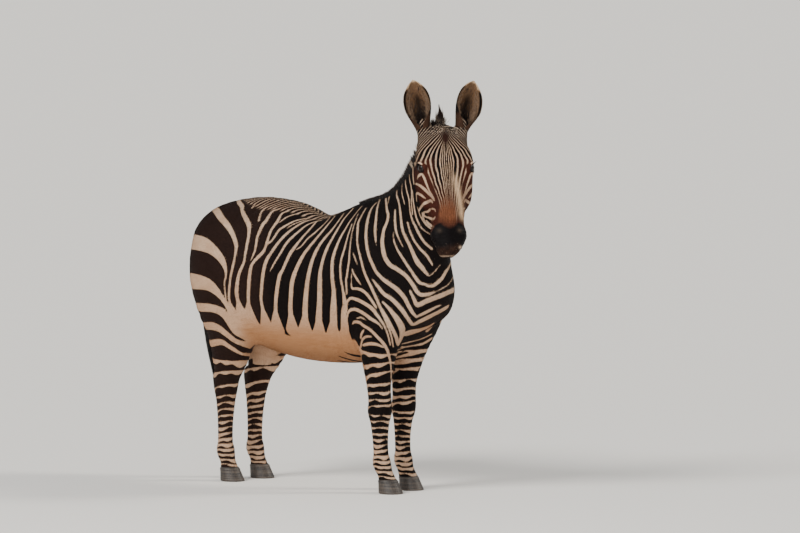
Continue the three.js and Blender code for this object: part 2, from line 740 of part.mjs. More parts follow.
// The line of the mouth: a thin horseshoe that cuts into the lips from outside.
function mouthLine() {
  const positions = [];
  const triangles = [];
  const steps = 16;
  for (let i = 0; i <= steps; i++) {
    const a = mix(-1, 1, i / steps) * 1.75;
    const back = Math.max(0, Math.abs(a) - 1) / 0.75;
    const edge = [mix(500, MOUTH.tip, Math.cos(a)) + 6 - 40 * back, 58 * Math.sin(a)];
    const inner = [edge[0] - MOUTH.depth * Math.cos(a) - 8, 58 * Math.sin(a) * (1 - MOUTH.depth / 50)];
    const outer = [edge[0] + 30 * Math.cos(a), 58 * Math.sin(a) * 1.5];
    const z = MOUTH.height + 9 * back * back;
    const half = (MOUTH.line / 2) * mix(1, 0.4, back);
    for (const [p, h] of [
      [inner, 0.3],
      [outer, -half],
      [outer, half],
    ])
      positions.push([p[0], p[1], z + (p === inner ? 0 : h)]);
  }
  for (let i = 0; i < steps; i++)
    for (const [a, b] of [
      [0, 1],
      [1, 2],
      [2, 0],
    ]) {
      const [p, q, r, t] = [i * 3 + a, i * 3 + b, i * 3 + 3 + b, i * 3 + 3 + a];
      triangles.push([p, q, r], [p, r, t]);
    }
  triangles.push([0, 2, 1], [steps * 3, steps * 3 + 1, steps * 3 + 2]);
  return solidOf(geometryOf(solidFrom({ positions, triangles })), headFrame);
}

// From inside the body along a direction to the skin.
function skinAlong(from, direction) {
  let [low, high] = [0, 400];
  for (let i = 0; i < 24; i++) {
    const middle = (low + high) / 2;
    const p = from.clone().addScaledVector(direction, middle);
    if (bodyField(p.x, p.y, p.z) < 0) low = middle;
    else high = middle;
  }
  return from.clone().addScaledVector(direction, low);
}

// Stations of the mane along the crest, from the withers (0) over the poll to the forelock (1).
const maneStations = [];
for (let i = 0; i < MANE.stations; i++) {
  const t = i / (MANE.stations - 1);
  let from;
  let out;
  if (t < 0.78) {
    const row = mix(0.5, 4.7, t / 0.78);
    const here = vec(...rowAt(NECK, row));
    const along = vec(...rowAt(NECK, Math.min(row + 0.05, 5))).sub(vec(...rowAt(NECK, row - 0.05)));
    out = THROAT.clone().lerp(headTurned, clamp01((row / 5) * 1.6 - 0.7)).negate();
    out.addScaledVector(along, -out.dot(along) / along.lengthSq()).normalize();
    from = here;
  } else {
    const turn = mix(0.55, 1.95, (t - 0.78) / 0.22);
    out = vec(-Math.sin(turn), 0, -Math.cos(turn)).transformDirection(headFrame);
    from = vec(26, 0, -34).applyMatrix4(headFrame);
  }
  const root = skinAlong(from, out);
  const grown = mix(MANE.short, MANE.long, clamp01(t / 0.8));
  const length = grown + (MANE.front - MANE.long) * clamp01((t - 0.8) * 8);
  maneStations.push({ root, out, length });
}
maneStations.forEach((m, i) => {
  const [a, b] = [maneStations[Math.max(0, i - 1)], maneStations[Math.min(MANE.stations - 1, i + 1)]];
  m.along = b.root.clone().sub(a.root).normalize();
  m.grow = m.out.clone().addScaledVector(m.along, 0.25).normalize();
});
// Over the poll the hair no longer fans out but stands up between the ears.
const standing = vec(-1, 0, 0.22).transformDirection(headFrame);
maneStations.forEach((m, i) => {
  const t = i / (MANE.stations - 1);
  m.grow.lerp(standing, clamp01((t - 0.62) / 0.2)).normalize();
  m.across = vec().crossVectors(m.along, m.grow).normalize();
});

// A flat lock of hair along a bent centre line, tapered to its tip; wide across the given direction.
function lock(points, across, width, thick) {
  const positions = [];
  const triangles = [];
  const last = points.length - 1;
  points.forEach((p, i) => {
    const t = i / last;
    const along = points[Math.min(last, i + 1)].clone().sub(points[Math.max(0, i - 1)]);
    const wide = across.clone().addScaledVector(along, -across.dot(along) / along.lengthSq()).normalize();
    const flat = vec().crossVectors(wide, along).normalize();
    const [w, h] = [(width / 2) * (1 - 0.84 * t ** 2.6), (thick / 2) * (1 - 0.8 * t)];
    for (const [a, b] of [
      [w, 0.35 * h],
      [-0.2 * w, h],
      [-w, -0.35 * h],
      [0.2 * w, -h],
    ])
      positions.push(p.clone().addScaledVector(wide, a).addScaledVector(flat, b).toArray());
  });
  for (let i = 0; i < last; i++)
    for (let k = 0; k < 4; k++) {
      const [a, b, c, d] = [i * 4 + k, i * 4 + ((k + 1) % 4), i * 4 + 4 + ((k + 1) % 4), i * 4 + 4 + k];
      triangles.push([a, b, c], [a, c, d]);
    }
  const end = last * 4;
  triangles.push([0, 2, 1], [0, 3, 2], [end, end + 1, end + 2], [end, end + 2, end + 3]);
  return solidFrom({ positions, triangles });
}

// Locks of the mane between two places along the crest, 0 at the withers and 1 at the forelock.
function maneLocks(from, to, count, seed) {
  const random = seeded(seed);
  const locks = [];
  for (let i = 0; i < count; i++) {
    const t = mix(from, to, ((i + random() * 0.5) / count) ** 0.9); // closer together towards the poll
    const m = maneStations[Math.min(MANE.stations - 1, Math.round(t * (MANE.stations - 1)))];
    const side = i % 2 ? 1 : -1;
    const length = m.length * mix(0.84, 1.06, random());
    const lean = mix(-0.2, 0.22, random());
    const root = m.root.clone().addScaledVector(m.across, side * MANE.width * 0.26);
    const points = [-MANE.sunk - 4, length * 0.36, length * 0.72, length].map((h, k) =>
      root
        .clone()
        .addScaledVector(m.grow, h)
        .addScaledVector(m.along, lean * Math.max(h, 0) * (k / 3) + (random() - 0.5) * 5)
        .addScaledVector(m.across, side * 0.05 * Math.max(h, 0)),
    );
    const turned = m.along.clone().applyAxisAngle(m.grow, (random() - 0.5) * 2.6 * clamp01((t - 0.88) * 12));
    const width = MANE_LOCKS.width * mix(0.7, 1, clamp01(length / 70)) * mix(0.85, 1.15, random());
    locks.push(lock(points, turned, width, MANE_LOCKS.thick));
  }
  return locks;
}

// Locks of the tail's tuft, rooted round the lower dock and drawn in to the tip.
function tuftLocks() {
  const random = seeded(TAIL_LOCKS.seed);
  const { count, high, low, tip } = TAIL_LOCKS;
  const dockAt = (z) => vec(...tailRowAt(z));
  return Array.from({ length: count }, (_, i) => {
    const angle = i * 2.4 + random() * 0.4;
    const out = vec(Math.cos(angle), Math.sin(angle), 0);
    const top = mix(high, low, i / (count - 1));
    const bottom = mix(tip + 110, tip, Math.sqrt(i / (count - 1))) + (random() - 0.5) * 40;
    const points = [0, 0.33, 0.67, 1].map((t) => {
      const z = mix(top, bottom, t);
      const bulge = mix(5, 25, Math.sin(Math.PI * clamp01(t * 0.86 + 0.06))) * (1 - 0.55 * t * t);
      return dockAt(z).addScaledVector(out, bulge + (random() - 0.5) * 4);
    });
    const across = vec(-out.y, out.x, 0);
    return lock(points, across, TAIL_LOCKS.width * mix(0.8, 1.15, random()), TAIL_LOCKS.thick);
  });
}

// Centre line of the tail at a height, dock and tuft together.
function tailRowAt(z) {
  const line = [...TAIL.filter((r) => r[2] > 800 && r[0] < -650), ...TUFT];
  const above = Math.max(0, line.findLastIndex((r) => r[2] >= z));
  const [a, b] = [line[above], line[Math.min(line.length - 1, above + 1)]];
  const t = a === b ? 0 : clamp01((a[2] - z) / (a[2] - b[2]));
  return [mix(a[0], b[0], t), mix(a[1], b[1], t), z];
}

const withLocks = (solid, locks) => largest(locks.reduce((sum, one) => sum.add(one), solid));

// The dense foot of the mane, a low fin over the crest that the locks stand in.
function maneFin() {
  const positions = [];
  const triangles = [];
  const stations = maneStations.filter((_, i) => i % 2 === 0 || i === MANE.stations - 1);
  for (const { root, grow, across, length } of stations) {
    const base = root.clone().addScaledVector(grow, -MANE.sunk);
    const tip = root.clone().addScaledVector(grow, length * MANE.core);
    for (const [p, w] of [
      [base, MANE.width / 2],
      [base, -MANE.width / 2],
      [tip, -MANE.width / 5],
      [tip, MANE.width / 5],
    ])
      positions.push(p.clone().addScaledVector(across, w).toArray());
  }
  for (let i = 0; i < stations.length - 1; i++)
    for (let k = 0; k < 4; k++) {
      const [a, b, c, d] = [i * 4 + k, i * 4 + ((k + 1) % 4), i * 4 + 4 + ((k + 1) % 4), i * 4 + 4 + k];
      triangles.push([a, b, c], [a, c, d]);
    }
  const last = (stations.length - 1) * 4;
  triangles.push([0, 2, 1], [0, 3, 2], [last, last + 1, last + 2], [last, last + 2, last + 3]);
  return solidFrom({ positions, triangles });
}

function makeHead() {
  let s = fleshIn([500, -420, 1010], [960, 170, 1690], 7, 3200);
  const hair = maneLocks(0.7, 1, MANE_LOCKS.head, MANE_LOCKS.seed);
  s = withLocks(s.add(maneFin()), hair).intersect(headRegion(0));
  for (const side of [1, -1]) s = s.subtract(earSeat(side));
  s = s.subtract(mouthLine());
  for (const side of [1, -1]) {
    const { socket, lids, opening } = eyeParts(side);
    s = s.add(lids).subtract(opening).subtract(socket).subtract(nostril(side));
  }
  return largest(s);
}

// An ear: a leaf rolled into a cup, open to the front, closed to a tube at the root.
function makeEar(s) {
  const columns = 12;
  const rows = EAR_ROWS.length;
  const point = ([v, wide, angle, spine], c, inset) => {
    const radius = wide / Math.sin(Math.min(angle, Math.PI / 2));
    const phi = (angle - inset / radius) * (2 * c - 1);
    const r = radius - inset;
    return [spine + radius - r * Math.cos(phi), r * Math.sin(phi), v * EAR.length];
  };
  const positions = [];
  const triangles = [];
  const index = (layer, i, j) => (layer * rows + i) * (columns + 1) + j;
  for (const layer of [0, 1])
    for (const row of EAR_ROWS)
      for (let j = 0; j <= columns; j++)
        positions.push(point(row, j / columns, (layer - 0.5) * EAR.wall * mix(1.3, 0.5, row[0])));
  const tip = positions.length;
  positions.push([-4, 0, EAR.length]);
  const quad = (a, b, c, d) => triangles.push([a, b, c], [a, c, d]);
  for (let i = 0; i < rows - 1; i++) {
    for (let j = 0; j < columns; j++) {
      quad(index(0, i, j), index(0, i, j + 1), index(0, i + 1, j + 1), index(0, i + 1, j));
      quad(index(1, i, j), index(1, i + 1, j), index(1, i + 1, j + 1), index(1, i, j + 1));
    }
    quad(index(0, i, 0), index(0, i + 1, 0), index(1, i + 1, 0), index(1, i, 0));
    quad(index(0, i, columns), index(1, i, columns), index(1, i + 1, columns), index(0, i + 1, columns));
  }
  for (let j = 0; j < columns; j++) {
    quad(index(0, 0, j), index(1, 0, j), index(1, 0, j + 1), index(0, 0, j + 1));
    triangles.push([index(0, rows - 1, j), index(0, rows - 1, j + 1), tip]);
    triangles.push([index(1, rows - 1, j + 1), index(1, rows - 1, j), tip]);
  }
  triangles.push([index(1, rows - 1, 0), index(0, rows - 1, 0), tip]);
  triangles.push([index(0, rows - 1, columns), index(1, rows - 1, columns), tip]);
  const plug = solidOf(
    new THREE.CylinderGeometry(20, 26, 44, 16),
    new THREE.Matrix4().makeRotationX(Math.PI / 2).setPosition(1, 0, 6),
  );
  const { cut, turned } = earPlace(s);
  const leaf = solidOf(geometryOf(solidFrom({ positions, triangles }).add(plug)), turned);
  return largest(keepBeyond(leaf, cut));
}

// A hoof: an oval frustum with its toe sloping forward.
function makeHoof(rows) {
  const [x, y] = rows[rows.length - 1];
  const rings = [
    [0, HOOF.sole - 2, HOOF.toe * 0.55],
    [4, HOOF.sole, HOOF.toe * 0.5],
    [30, mix(HOOF.sole, HOOF.coronet, 0.5), HOOF.toe * 0.22],
    [HOOF.top - GAP / 2, HOOF.coronet, 0],
  ];
  const positions = [[x + HOOF.toe * 0.3, y, 0]];
  const triangles = [];
  rings.forEach(([z, r, shift]) => {
    for (let i = 0; i < HOOF.segments; i++) {
      const a = (2 * Math.PI * i) / HOOF.segments;
      positions.push([x + shift + Math.cos(a) * r * 1.08, y + Math.sin(a) * r * 0.96, z]);
    }
  });
  const top = positions.length;
  positions.push([x, y, HOOF.top - GAP / 2]);
  const id = (ring, i) => 1 + ring * HOOF.segments + (i % HOOF.segments);
  for (let i = 0; i < HOOF.segments; i++) {
    triangles.push([0, id(0, i + 1), id(0, i)]);
    triangles.push([top, id(rings.length - 1, i), id(rings.length - 1, i + 1)]);
    for (let r = 0; r < rings.length - 1; r++) {
      triangles.push([id(r, i), id(r, i + 1), id(r + 1, i + 1)]);
      triangles.push([id(r, i), id(r + 1, i + 1), id(r + 1, i)]);
    }
  }
  return solidFrom({ positions, triangles });
}

// The tail: a hairy dock, and below it a plain tuft out to its tip; grown by a margin.
function tailSolid(grow) {
  const dock = limb(TAIL, () => FORWARD);
  const hair = limb(TUFT, () => FORWARD);
  const field = (x, y, z) => smoothMin(dock(x, y, z), hair(x, y, z), 20) - grow;
  const box = new THREE.Box3(vec(-730, -70, 400), vec(-500, 120, 1190));
  return solidFrom(decimate(polygonise(field, box, 8), 420));
}
const makeTail = () => largest(keepBeyond(withLocks(tailSolid(0), tuftLocks()), TAIL_CUT));

// ---------------------------------------------------------------- materials and assembly
const coat = new THREE.MeshStandardMaterial({ color: 0xb9a58f, roughness: 0.75, metalness: 0 });
const horn = new THREE.MeshStandardMaterial({ color: 0x2a2522, roughness: 0.5, metalness: 0 });
const eyeball = new THREE.MeshStandardMaterial({ color: 0x120c09, roughness: 0.1, metalness: 0 });

const zebra = new THREE.Group();
function put(name, solid, material) {
  const mesh = new THREE.Mesh(geometryOf(solid), material);
  mesh.name = name;
  mesh.position.set(-CENTRE.x, -CENTRE.y, 0);
  zebra.add(mesh);
}

put("torso", makeTorso(), coat);
put("neck", makeNeck(), coat);
put("head", makeHead(), coat);
for (const [side, s] of [
  ["left", 1],
  ["right", -1],
]) {
  put("ear_" + side, makeEar(s), coat);
  put("eye_" + side, eyeParts(s).eye, eyeball);
  for (const front of [true, false]) {
    const { name, solid } = makeLeg(front, s > 0);
    put("leg_" + name, solid, coat);
    put("hoof_" + name, makeHoof(LEGS[name]), horn);
  }
}
put("tail", makeTail(), coat);

export default zebra;
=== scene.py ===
"""Mountain zebra, a life-size museum model: skin, stripes, coat, mane, eyes and hooves round the solids.

Lengths are in millimetres in the animal's own frame (+X to the chest, +Y to its left, +Z up) until place()
moves them to the row frame in metres.
"""

import math
from collections import namedtuple

import bmesh
import bpy
import numpy as np
import openvdb
from mathutils import Matrix, Vector
from mathutils.bvhtree import BVHTree
from mathutils.kdtree import KDTree


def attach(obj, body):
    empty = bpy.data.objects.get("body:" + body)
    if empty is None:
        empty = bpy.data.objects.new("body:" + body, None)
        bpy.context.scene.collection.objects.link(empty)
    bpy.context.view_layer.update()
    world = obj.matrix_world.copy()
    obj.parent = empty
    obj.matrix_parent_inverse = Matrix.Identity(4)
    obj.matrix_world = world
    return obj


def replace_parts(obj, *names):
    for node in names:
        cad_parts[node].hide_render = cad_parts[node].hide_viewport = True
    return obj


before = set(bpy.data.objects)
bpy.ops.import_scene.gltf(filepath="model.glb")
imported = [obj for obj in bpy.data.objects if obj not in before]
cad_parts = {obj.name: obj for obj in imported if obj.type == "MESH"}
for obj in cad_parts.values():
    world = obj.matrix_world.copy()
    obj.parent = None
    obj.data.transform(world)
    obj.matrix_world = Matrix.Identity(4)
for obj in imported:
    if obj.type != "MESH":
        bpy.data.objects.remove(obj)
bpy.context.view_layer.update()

# ------------------------------------------------------------------ sizes
# They are the solids', save those of the muzzle, the lower tail and the very tips of the ears.
CENTRE = np.array([101.0, -2.0, 0.0])
# Rows of a limb: centre x, y, z, half-width to the side, half-depth in front and behind.
TRUNK = [
    (-560, 0, 1070, 84, 66, 150),
    (-502, 0, 1050, 150, 138, 240),
    (-430, 0, 1018, 200, 208, 315),
    (-320, 0, 975, 226, 279, 338),
    (-200, 0, 925, 240, 316, 348),
    (-70, 0, 890, 248, 306, 342),
    (60, 0, 880, 244, 304, 340),
    (190, 0, 890, 224, 324, 344),
    (300, 0, 905, 194, 342, 338),
    (415, 0, 920, 168, 310, 285),
    (505, 0, 915, 146, 235, 225),
    (565, 0, 905, 112, 145, 160),
]
NECK = [
    (330, 0, 1000, 160, 240, 235),
    (440, 0, 1120, 136, 205, 176),
    (528, -8, 1237, 110, 158, 132),
    (596, -20, 1350, 95, 126, 108),
    (640, -32, 1455, 86, 104, 92),
    (664, -36, 1530, 76, 80, 64),
]
FRONT_LEG = [
    (310, 105, 1120, 55, 85, 95),
    (385, 128, 1000, 74, 110, 120),
    (450, 134, 870, 82, 115, 125),
    (425, 130, 750, 80, 110, 122),
    (398, 120, 655, 74, 92, 106),
    (386, 108, 560, 61, 70, 82),
    (380, 99, 470, 50, 54, 62),
    (380, 95, 400, 50, 54, 54),
    (380, 94, 355, 52, 54, 58),
    (380, 92, 305, 40, 42, 48),
    (382, 90, 235, 34, 32, 42),
    (384, 89, 170, 33, 32, 40),
    (388, 88, 130, 40, 38, 47),
    (402, 87, 88, 34, 34, 38),
    (416, 87, 50, 40, 40, 44),
]
HIND_LEG = [
    (-395, 105, 1050, 112, 165, 185),
    (-400, 128, 900, 116, 185, 198),
    (-376, 138, 750, 102, 150, 172),
    (-386, 134, 645, 88, 118, 122),
    (-410, 124, 550, 70, 92, 82),
    (-436, 110, 470, 53, 68, 58),
    (-448, 100, 410, 50, 58, 54),
    (-450, 96, 352, 41, 46, 46),
    (-452, 93, 260, 34, 34, 40),
    (-454, 91, 172, 33, 33, 39),
    (-452, 90, 132, 40, 38, 47),
    (-442, 90, 88, 34, 34, 38),
    (-434, 90, 50, 40, 40, 44),
]
TAIL = [
    (x, y, z, r, r, r)
    for x, y, z, r in [
        (-520, 0, 1118, 34), (-580, 0, 1120, 31), (-634, 0, 1086, 28), (-662, 2, 1010, 24),
        (-669, 7, 900, 19), (-663, 17, 790, 15), (-652, 32, 700, 10), (-644, 46, 600, 7),
        (-635, 60, 500, 5), (-630, 68, 430, 3),
    ]
]
# The head's own frame: x from the poll to the lips, y to its left, z out of the forehead.
HEAD_POLL = np.array([664.0, -24.0, 1570.0])
HEAD_TURN = math.radians(-46)
HEAD_HANG = math.radians(28)
SKULL = [
    (-16, 0, -30, 60, 40, 46),
    (40, 0, -24, 96, 62, 86),
    (110, 0, -20, 112, 74, 110),
    (180, 0, -18, 106, 74, 110),
    (255, 0, -12, 98, 68, 84),
    (330, 0, -4, 82, 58, 60),
    (400, 0, 0, 70, 52, 46),
    (455, 0, -2, 71, 49, 40),
    (500, 0, -6, 67, 44, 36),
    (532, -7, -12, 50, 34, 28),
    (551, -9, -18, 37, 22, 20),
]
JAW = [
    (125, 0, -70, 88, 60, 80),
    (190, 0, -86, 98, 60, 78),
    (260, 0, -88, 98, 54, 76),
    (320, 0, -80, 88, 48, 64),
    (380, 0, -68, 66, 38, 48),
    (440, -3, -58, 51, 30, 36),
    (490, -6, -56, 46, 28, 32),
    (520, -9, -56, 39, 24, 28),
    (538, -9, -56, 26, 16, 21),
]
EYE = dict(along=172, side=100, out=26, radius=23, lid=26)
# The opening between the lids: its middle on the head, its turns and its half-axes (along, out, up).
LIDS_MIDDLE = (EYE["along"] + 1, EYE["side"] + 19, EYE["out"] + 7)
LIDS_TURNS = (("X", 0.35), ("Z", -0.1))
LIDS = (20.5, 17, 11.5)
# Folds of the lids: height, distance, width, how far over the corners each begins and is whole, 1 if above.
LID_FOLDS = ((1.5, 1.75, 0.16, 0.1, 0.7, 1), (0.9, 2.25, 0.14, 0.2, 0.9, 1), (1.0, 1.8, 0.2, 0.1, 0.8, -1))
NOSTRIL = (489, 53, 8)
NOSTRIL_TURNS = (("Y", 0.5), ("Z", 0.55))
NOSTRIL_SIZE = (26, 11, 15)
MUZZLE_ASIDE = 6.0  # of the lips, to the animal's right
SLANT = (math.cos(0.6), math.sin(0.6))  # of the lids, against the line of the face
EAR = dict(along=6, side=76, length=228, wall=5, stump=28, lean={1: 0.31, -1: 0.155})
# Rows of an ear from root to tip: height, half-width, half-angle of the cup, place of its spine.
EAR_ROWS = [
    (0, 27, 3.0, -26),
    (0.08, 31, 2.75, -27),
    (0.17, 38, 2.35, -29),
    (0.28, 47, 1.95, -31),
    (0.4, 55, 1.62, -33),
    (0.52, 58, 1.42, -33),
    (0.64, 56, 1.28, -30),
    (0.76, 48, 1.16, -25),
    (0.87, 33, 1.06, -18),
    (0.95, 17, 1.0, -12),
    (1.0, 2, 0.95, -5),
]
HOOF = dict(toe=30, sole=52, coronet=41, top=56)
SIDES = (1, -1)  # the left and the right
CELL = 6.0  # of the skin's mesh
SKIN_BOX = (-720, -300, 40), (960, 280, 1700)  # in which its surface is looked for
COAT_DEPTH, MUZZLE_DEPTH = 3.0, 1.0  # of the coat over the skin
CROUP_BARS = 21  # from one fine bar on the croup to the next
# How many locks or hairs each piece has, and the seed of its draws.
LOCKS = dict(
    mane=5600, forelock=1800, tail_tuft=1500, upper_lashes=44, lower_lashes=20, whiskers=150, ear_hair=1300,
    fringe=620,
)
SEEDS = dict(mane=5, forelock=6, tail_tuft=7, coat=11, lashes=21, whiskers=22, ear_hair=23, fringe=24)


# ------------------------------------------------------------------ small helpers
def unit(v):
    v = np.asarray(v, float)
    return v / np.maximum(np.linalg.norm(v, axis=-1, keepdims=True), 1e-9)


def mix(a, b, t):
    return a + (b - a) * t


def smoothstep(low, high, x):
    t = np.clip((x - low) / (high - low), 0, 1)
    return t * t * (3 - 2 * t)


def smooth_min(a, b, k):
    h = np.maximum(k - np.abs(a - b), 0) / k
    return np.minimum(a, b) - h * h * k / 4


def smooth_max(a, b, k):
    return -smooth_min(-a, -b, k)


def row_at(rows, t):
    """Row number t, a fraction allowed, on a Catmull-Rom spline."""
    rows = np.asarray(rows, float)
    last = len(rows) - 1
    i = min(int(t), last - 1)
    u = t - i
    p0, p1, p2, p3 = (rows[min(last, max(0, i + d))] for d in (-1, 0, 1, 2))
    return 0.5 * (
        2 * p1 + (p2 - p0) * u + (2 * p0 - 5 * p1 + 4 * p2 - p3) * u * u + (3 * p1 - p0 - 3 * p2 + p3) * u**3
    )


def place(points):
    """From the animal's frame in millimetres to the row frame in metres."""
    return (np.asarray(points, float) - CENTRE) / 1000


def hill(*parts):
    """1 where each value is at its middle, falling off over its width; parts are (value, middle, width)."""
    return np.exp(-sum(((value - middle) / width) ** 2 for value, middle, width in parts))


def profile(rows, z, *columns):
    """Columns of a limb's rows at heights z."""
    rows = np.array(sorted(rows, key=lambda row: row[2]), float)
    return [np.interp(z, rows[:, 2], rows[:, k]) for k in columns]


def within(h, along, aside, up):
    """Whether points lie between two places along and two up, and less than so far to either side."""
    inside = (h[:, 0] > along[0]) & (h[:, 0] < along[1]) & (np.abs(h[:, 1]) < aside)
    return inside & (h[:, 2] > up[0]) & (h[:, 2] < up[1])


def turning(turns):
    """The matrix of turns about axes: (("X", angle), ...)."""
    m = Matrix.Identity(3)
    for axis, angle in turns:
        m = m @ Matrix.Rotation(angle, 3, axis)
    return np.array(m)


def draws(name):
    """A piece's own run of random numbers."""
    return np.random.default_rng(SEEDS[name])


# ------------------------------------------------------------------ the body as a distance field
def ellipsoid(x, y, z, rx, ry, rz):
    k = np.sqrt((x / rx) ** 2 + (y / ry) ** 2 + (z / rz) ** 2)
    slope = np.sqrt((x / rx**2) ** 2 + (y / ry**2) ** 2 + (z / rz**2) ** 2)
    return np.where(slope < 1e-9, -np.minimum(np.minimum(rx, ry), rz), k * (k - 1) / np.maximum(slope, 1e-9))


def limb(rows, front, steps=3):
    """Ellipses of the rows' sizes strung along a spline; front(t) is the rows' forward direction."""
    rows = np.array(rows, float)
    count = (len(rows) - 1) * steps
    stations = np.array([row_at(rows, i / steps) for i in range(count + 1)])
    widest = stations[:, 3:].max()
    low, high = stations[:, :3].min(0) - widest, stations[:, :3].max(0) + widest

    def field(points):
        away = np.linalg.norm(np.maximum(np.maximum(low - points, points - high), 0), axis=1)
        out = np.maximum(away, 1.0) + 200.0
        near = np.nonzero(away < 110)[0]
        q = points[near]
        best = np.full(len(q), 300.0)
        for i in range(count):
            a, b = stations[i], stations[i + 1]
            along = b[:3] - a[:3]
            length = np.linalg.norm(along)
            along = along / length
            fore = np.array(front((i + 0.5) / count), float)
            fore = unit(fore - along * (fore @ along))
            side = np.cross(fore, along)
            h = (q - a[:3]) @ along
            reach = max(a[3:].max(), b[3:].max()) + 100
            use = np.nonzero((h > -reach) & (h < length + reach))[0]
            if not len(use):
                continue
            p, h = q[use] - a[:3], h[use]
            t = np.clip(h / length, 0, 1)
            s, f = p @ side, p @ fore
            rs = mix(a[3], b[3], t)
            rf = np.where(f > 0, mix(a[4], b[4], t), mix(a[5], b[5], t))
            best[use] = np.minimum(best[use], ellipsoid(s, f, h - length * t, rs, rf, np.minimum(rs, rf)))
        out[near] = np.minimum(best, out[near])
        return out

    return field


def blob(cx, cy, cz, rx, ry, rz, lean=0.0):
    c, s = math.cos(lean), math.sin(lean)

    def field(points):
        dx, dy, dz = points[:, 0] - cx, points[:, 1] - cy, points[:, 2] - cz
        return ellipsoid(dx * c + dz * s, dy, dz * c - dx * s, rx, ry, rz)

    return field


def to_right(rows):
    return [(x, -y, *rest) for x, y, *rest in rows]


def shifted(rows, hoof_shift):
    top = rows[0][2]
    return [(r[0] + hoof_shift * min(1, max(0, (top - r[2]) / top)), *r[1:]) for r in rows]


LEGS = {
    "front_left": shifted(FRONT_LEG, -14),
    "front_right": to_right(shifted(FRONT_LEG, 2)),
    "hind_left": shifted(HIND_LEG, 30),
    "hind_right": to_right(HIND_LEG),
}
FORWARD, UP = np.array([1.0, 0, 0]), np.array([0.0, 0, 1])
THROAT = np.array([0.857, 0, -0.515])
HEAD_TURNED = np.array([math.cos(HEAD_TURN), math.sin(HEAD_TURN), 0])
HEAD_AXES = np.array([
    -UP * math.cos(HEAD_HANG) + HEAD_TURNED * math.sin(HEAD_HANG),
    [-HEAD_TURNED[1], HEAD_TURNED[0], 0],
    UP * math.sin(HEAD_HANG) + HEAD_TURNED * math.cos(HEAD_HANG),
])


def to_head(points):
    h = (np.asarray(points, float) - HEAD_POLL) @ HEAD_AXES.T
    h[..., 1] += MUZZLE_ASIDE * smoothstep(320, 470, h[..., 0])
    return h


def from_head(points):
    return np.asarray(points, float) @ HEAD_AXES + HEAD_POLL


def neck_front(t):
    return mix(THROAT, HEAD_TURNED, min(1, max(0, t * 1.6 - 0.7)))


def both_sides(*rows):
    """Blobs on both sides and how softly each blends: along, aside, up, half-axes, a lean, that softness."""
    return [(blob(x, s * y, z, *rest), k) for x, y, z, *rest, k in rows for s in SIDES]


trunk = limb(TRUNK, lambda t: UP)
neck = limb(NECK, neck_front)
legs = {name: limb(rows, lambda t: FORWARD) for name, rows in LEGS.items()}
tail_root = limb(TAIL[:4], lambda t: FORWARD)
BODY_BULGES = both_sides(
    (550, 70, 868, 76, 62, 104, 0.3, 70),  # chest muscles
    (-262, 156, 1118, 66, 38, 46, 0.3, 60),  # points of the hip
    (410, 140, 930, 88, 44, 190, 0.32, 50),  # shoulders
    (340, 124, 705, 44, 40, 56, -0.3, 40),  # elbows
    (-308, 158, 735, 52, 40, 80, -0.25, 50),  # stifles
) + [
    (blob(x - 46, y, z + 30, 20, 18, 46, 0.12), 20)  # points of the hock
    for x, y, z, *_ in (LEGS["hind_left"][6], LEGS["hind_right"][6])
]
dewlap = blob(672, -30, 1196, 30, 10, 84, -0.3)
cleft = blob(-676, 3, 962, 54, 34, 150)
skull, jaw = limb(SKULL, lambda t: UP), limb(JAW, lambda t: UP)
FACE_BULGES = both_sides(
    (164, 88, 12, 60, 29, 34, 44),  # orbits
    (120, 56, 8, 90, 44, 38, 50),  # forehead
    (245, 90, -26, 78, 20, 22, -0.12, 34),  # cheekbones
    (225, 84, -88, 88, 34, 76, 30),  # jaw muscles
    (474, 51, 4, 37, 26, 30, 20),  # nostril wings
) + [
    (blob(535, -8, -28, 24, 41, 18), 16),  # upper lip
    (blob(510, -9, -74, 28, 30, 17), 14),  # chin
]
# An ear's root, as balls from the skull out: along and aside from the ear's place, up, radius.
EAR_ROOT = ((40, -14, -26, 36), (0, 0, -8, 34), (-50, 12, 2, 29))
ear_roots = [
    limb([(EAR["along"] + x, s * (EAR["side"] + y), z, r, r, r) for x, y, z, r in EAR_ROOT], lambda t: UP)
    for s in SIDES
]


def head_field(h):
    """Skull, jaw, their bulges and the ears' roots, at head points h."""
    cheek = np.clip((470 - h[:, 0]) / 90, 0, 1)
    d = smooth_min(skull(h), jaw(h), mix(26, 52, cheek))
    for bulge, k in FACE_BULGES:
        d = smooth_min(d, bulge(h), k)
    for root in ear_roots:
        d = smooth_min(d, root(h), 24)
    return d


def body_field(points):
    """The body, as far out as its coat, without the ears' cups, the lower tail and the hooves."""
    d = smooth_min(trunk(points), neck(points), 90)
    k = mix(40, 70, np.clip((points[:, 2] - 580) / 120, 0, 1))
    for leg in legs.values():
        d = smooth_min(d, leg(points), k)
    for bulge, k in BODY_BULGES:
        d = smooth_min(d, bulge(points), k)
    d = smooth_min(d, tail_root(points), 34)
    d = smooth_max(d, -cleft(points), 30)
    high = np.nonzero(points[:, 2] > 1000)[0]
    q = points[high]
    e = smooth_min(d[high], dewlap(q), 26)
    h = to_head(q)
    i = np.nonzero(within(h, (-200, 700), 260, (-360, 220)))[0]
    e[i] = smooth_min(e[i], head_field(h[i]), 46)
    d[high] = e
    return d


def coated_field(points):
    """The body without the depth of its coat, which the tufts fill."""
    return body_field(points) + COAT_DEPTH


def as_left(h):
    """Head points, those of the right side mirrored to the left."""
    return np.stack([h[:, 0], np.abs(h[:, 1]), h[:, 2]], 1)


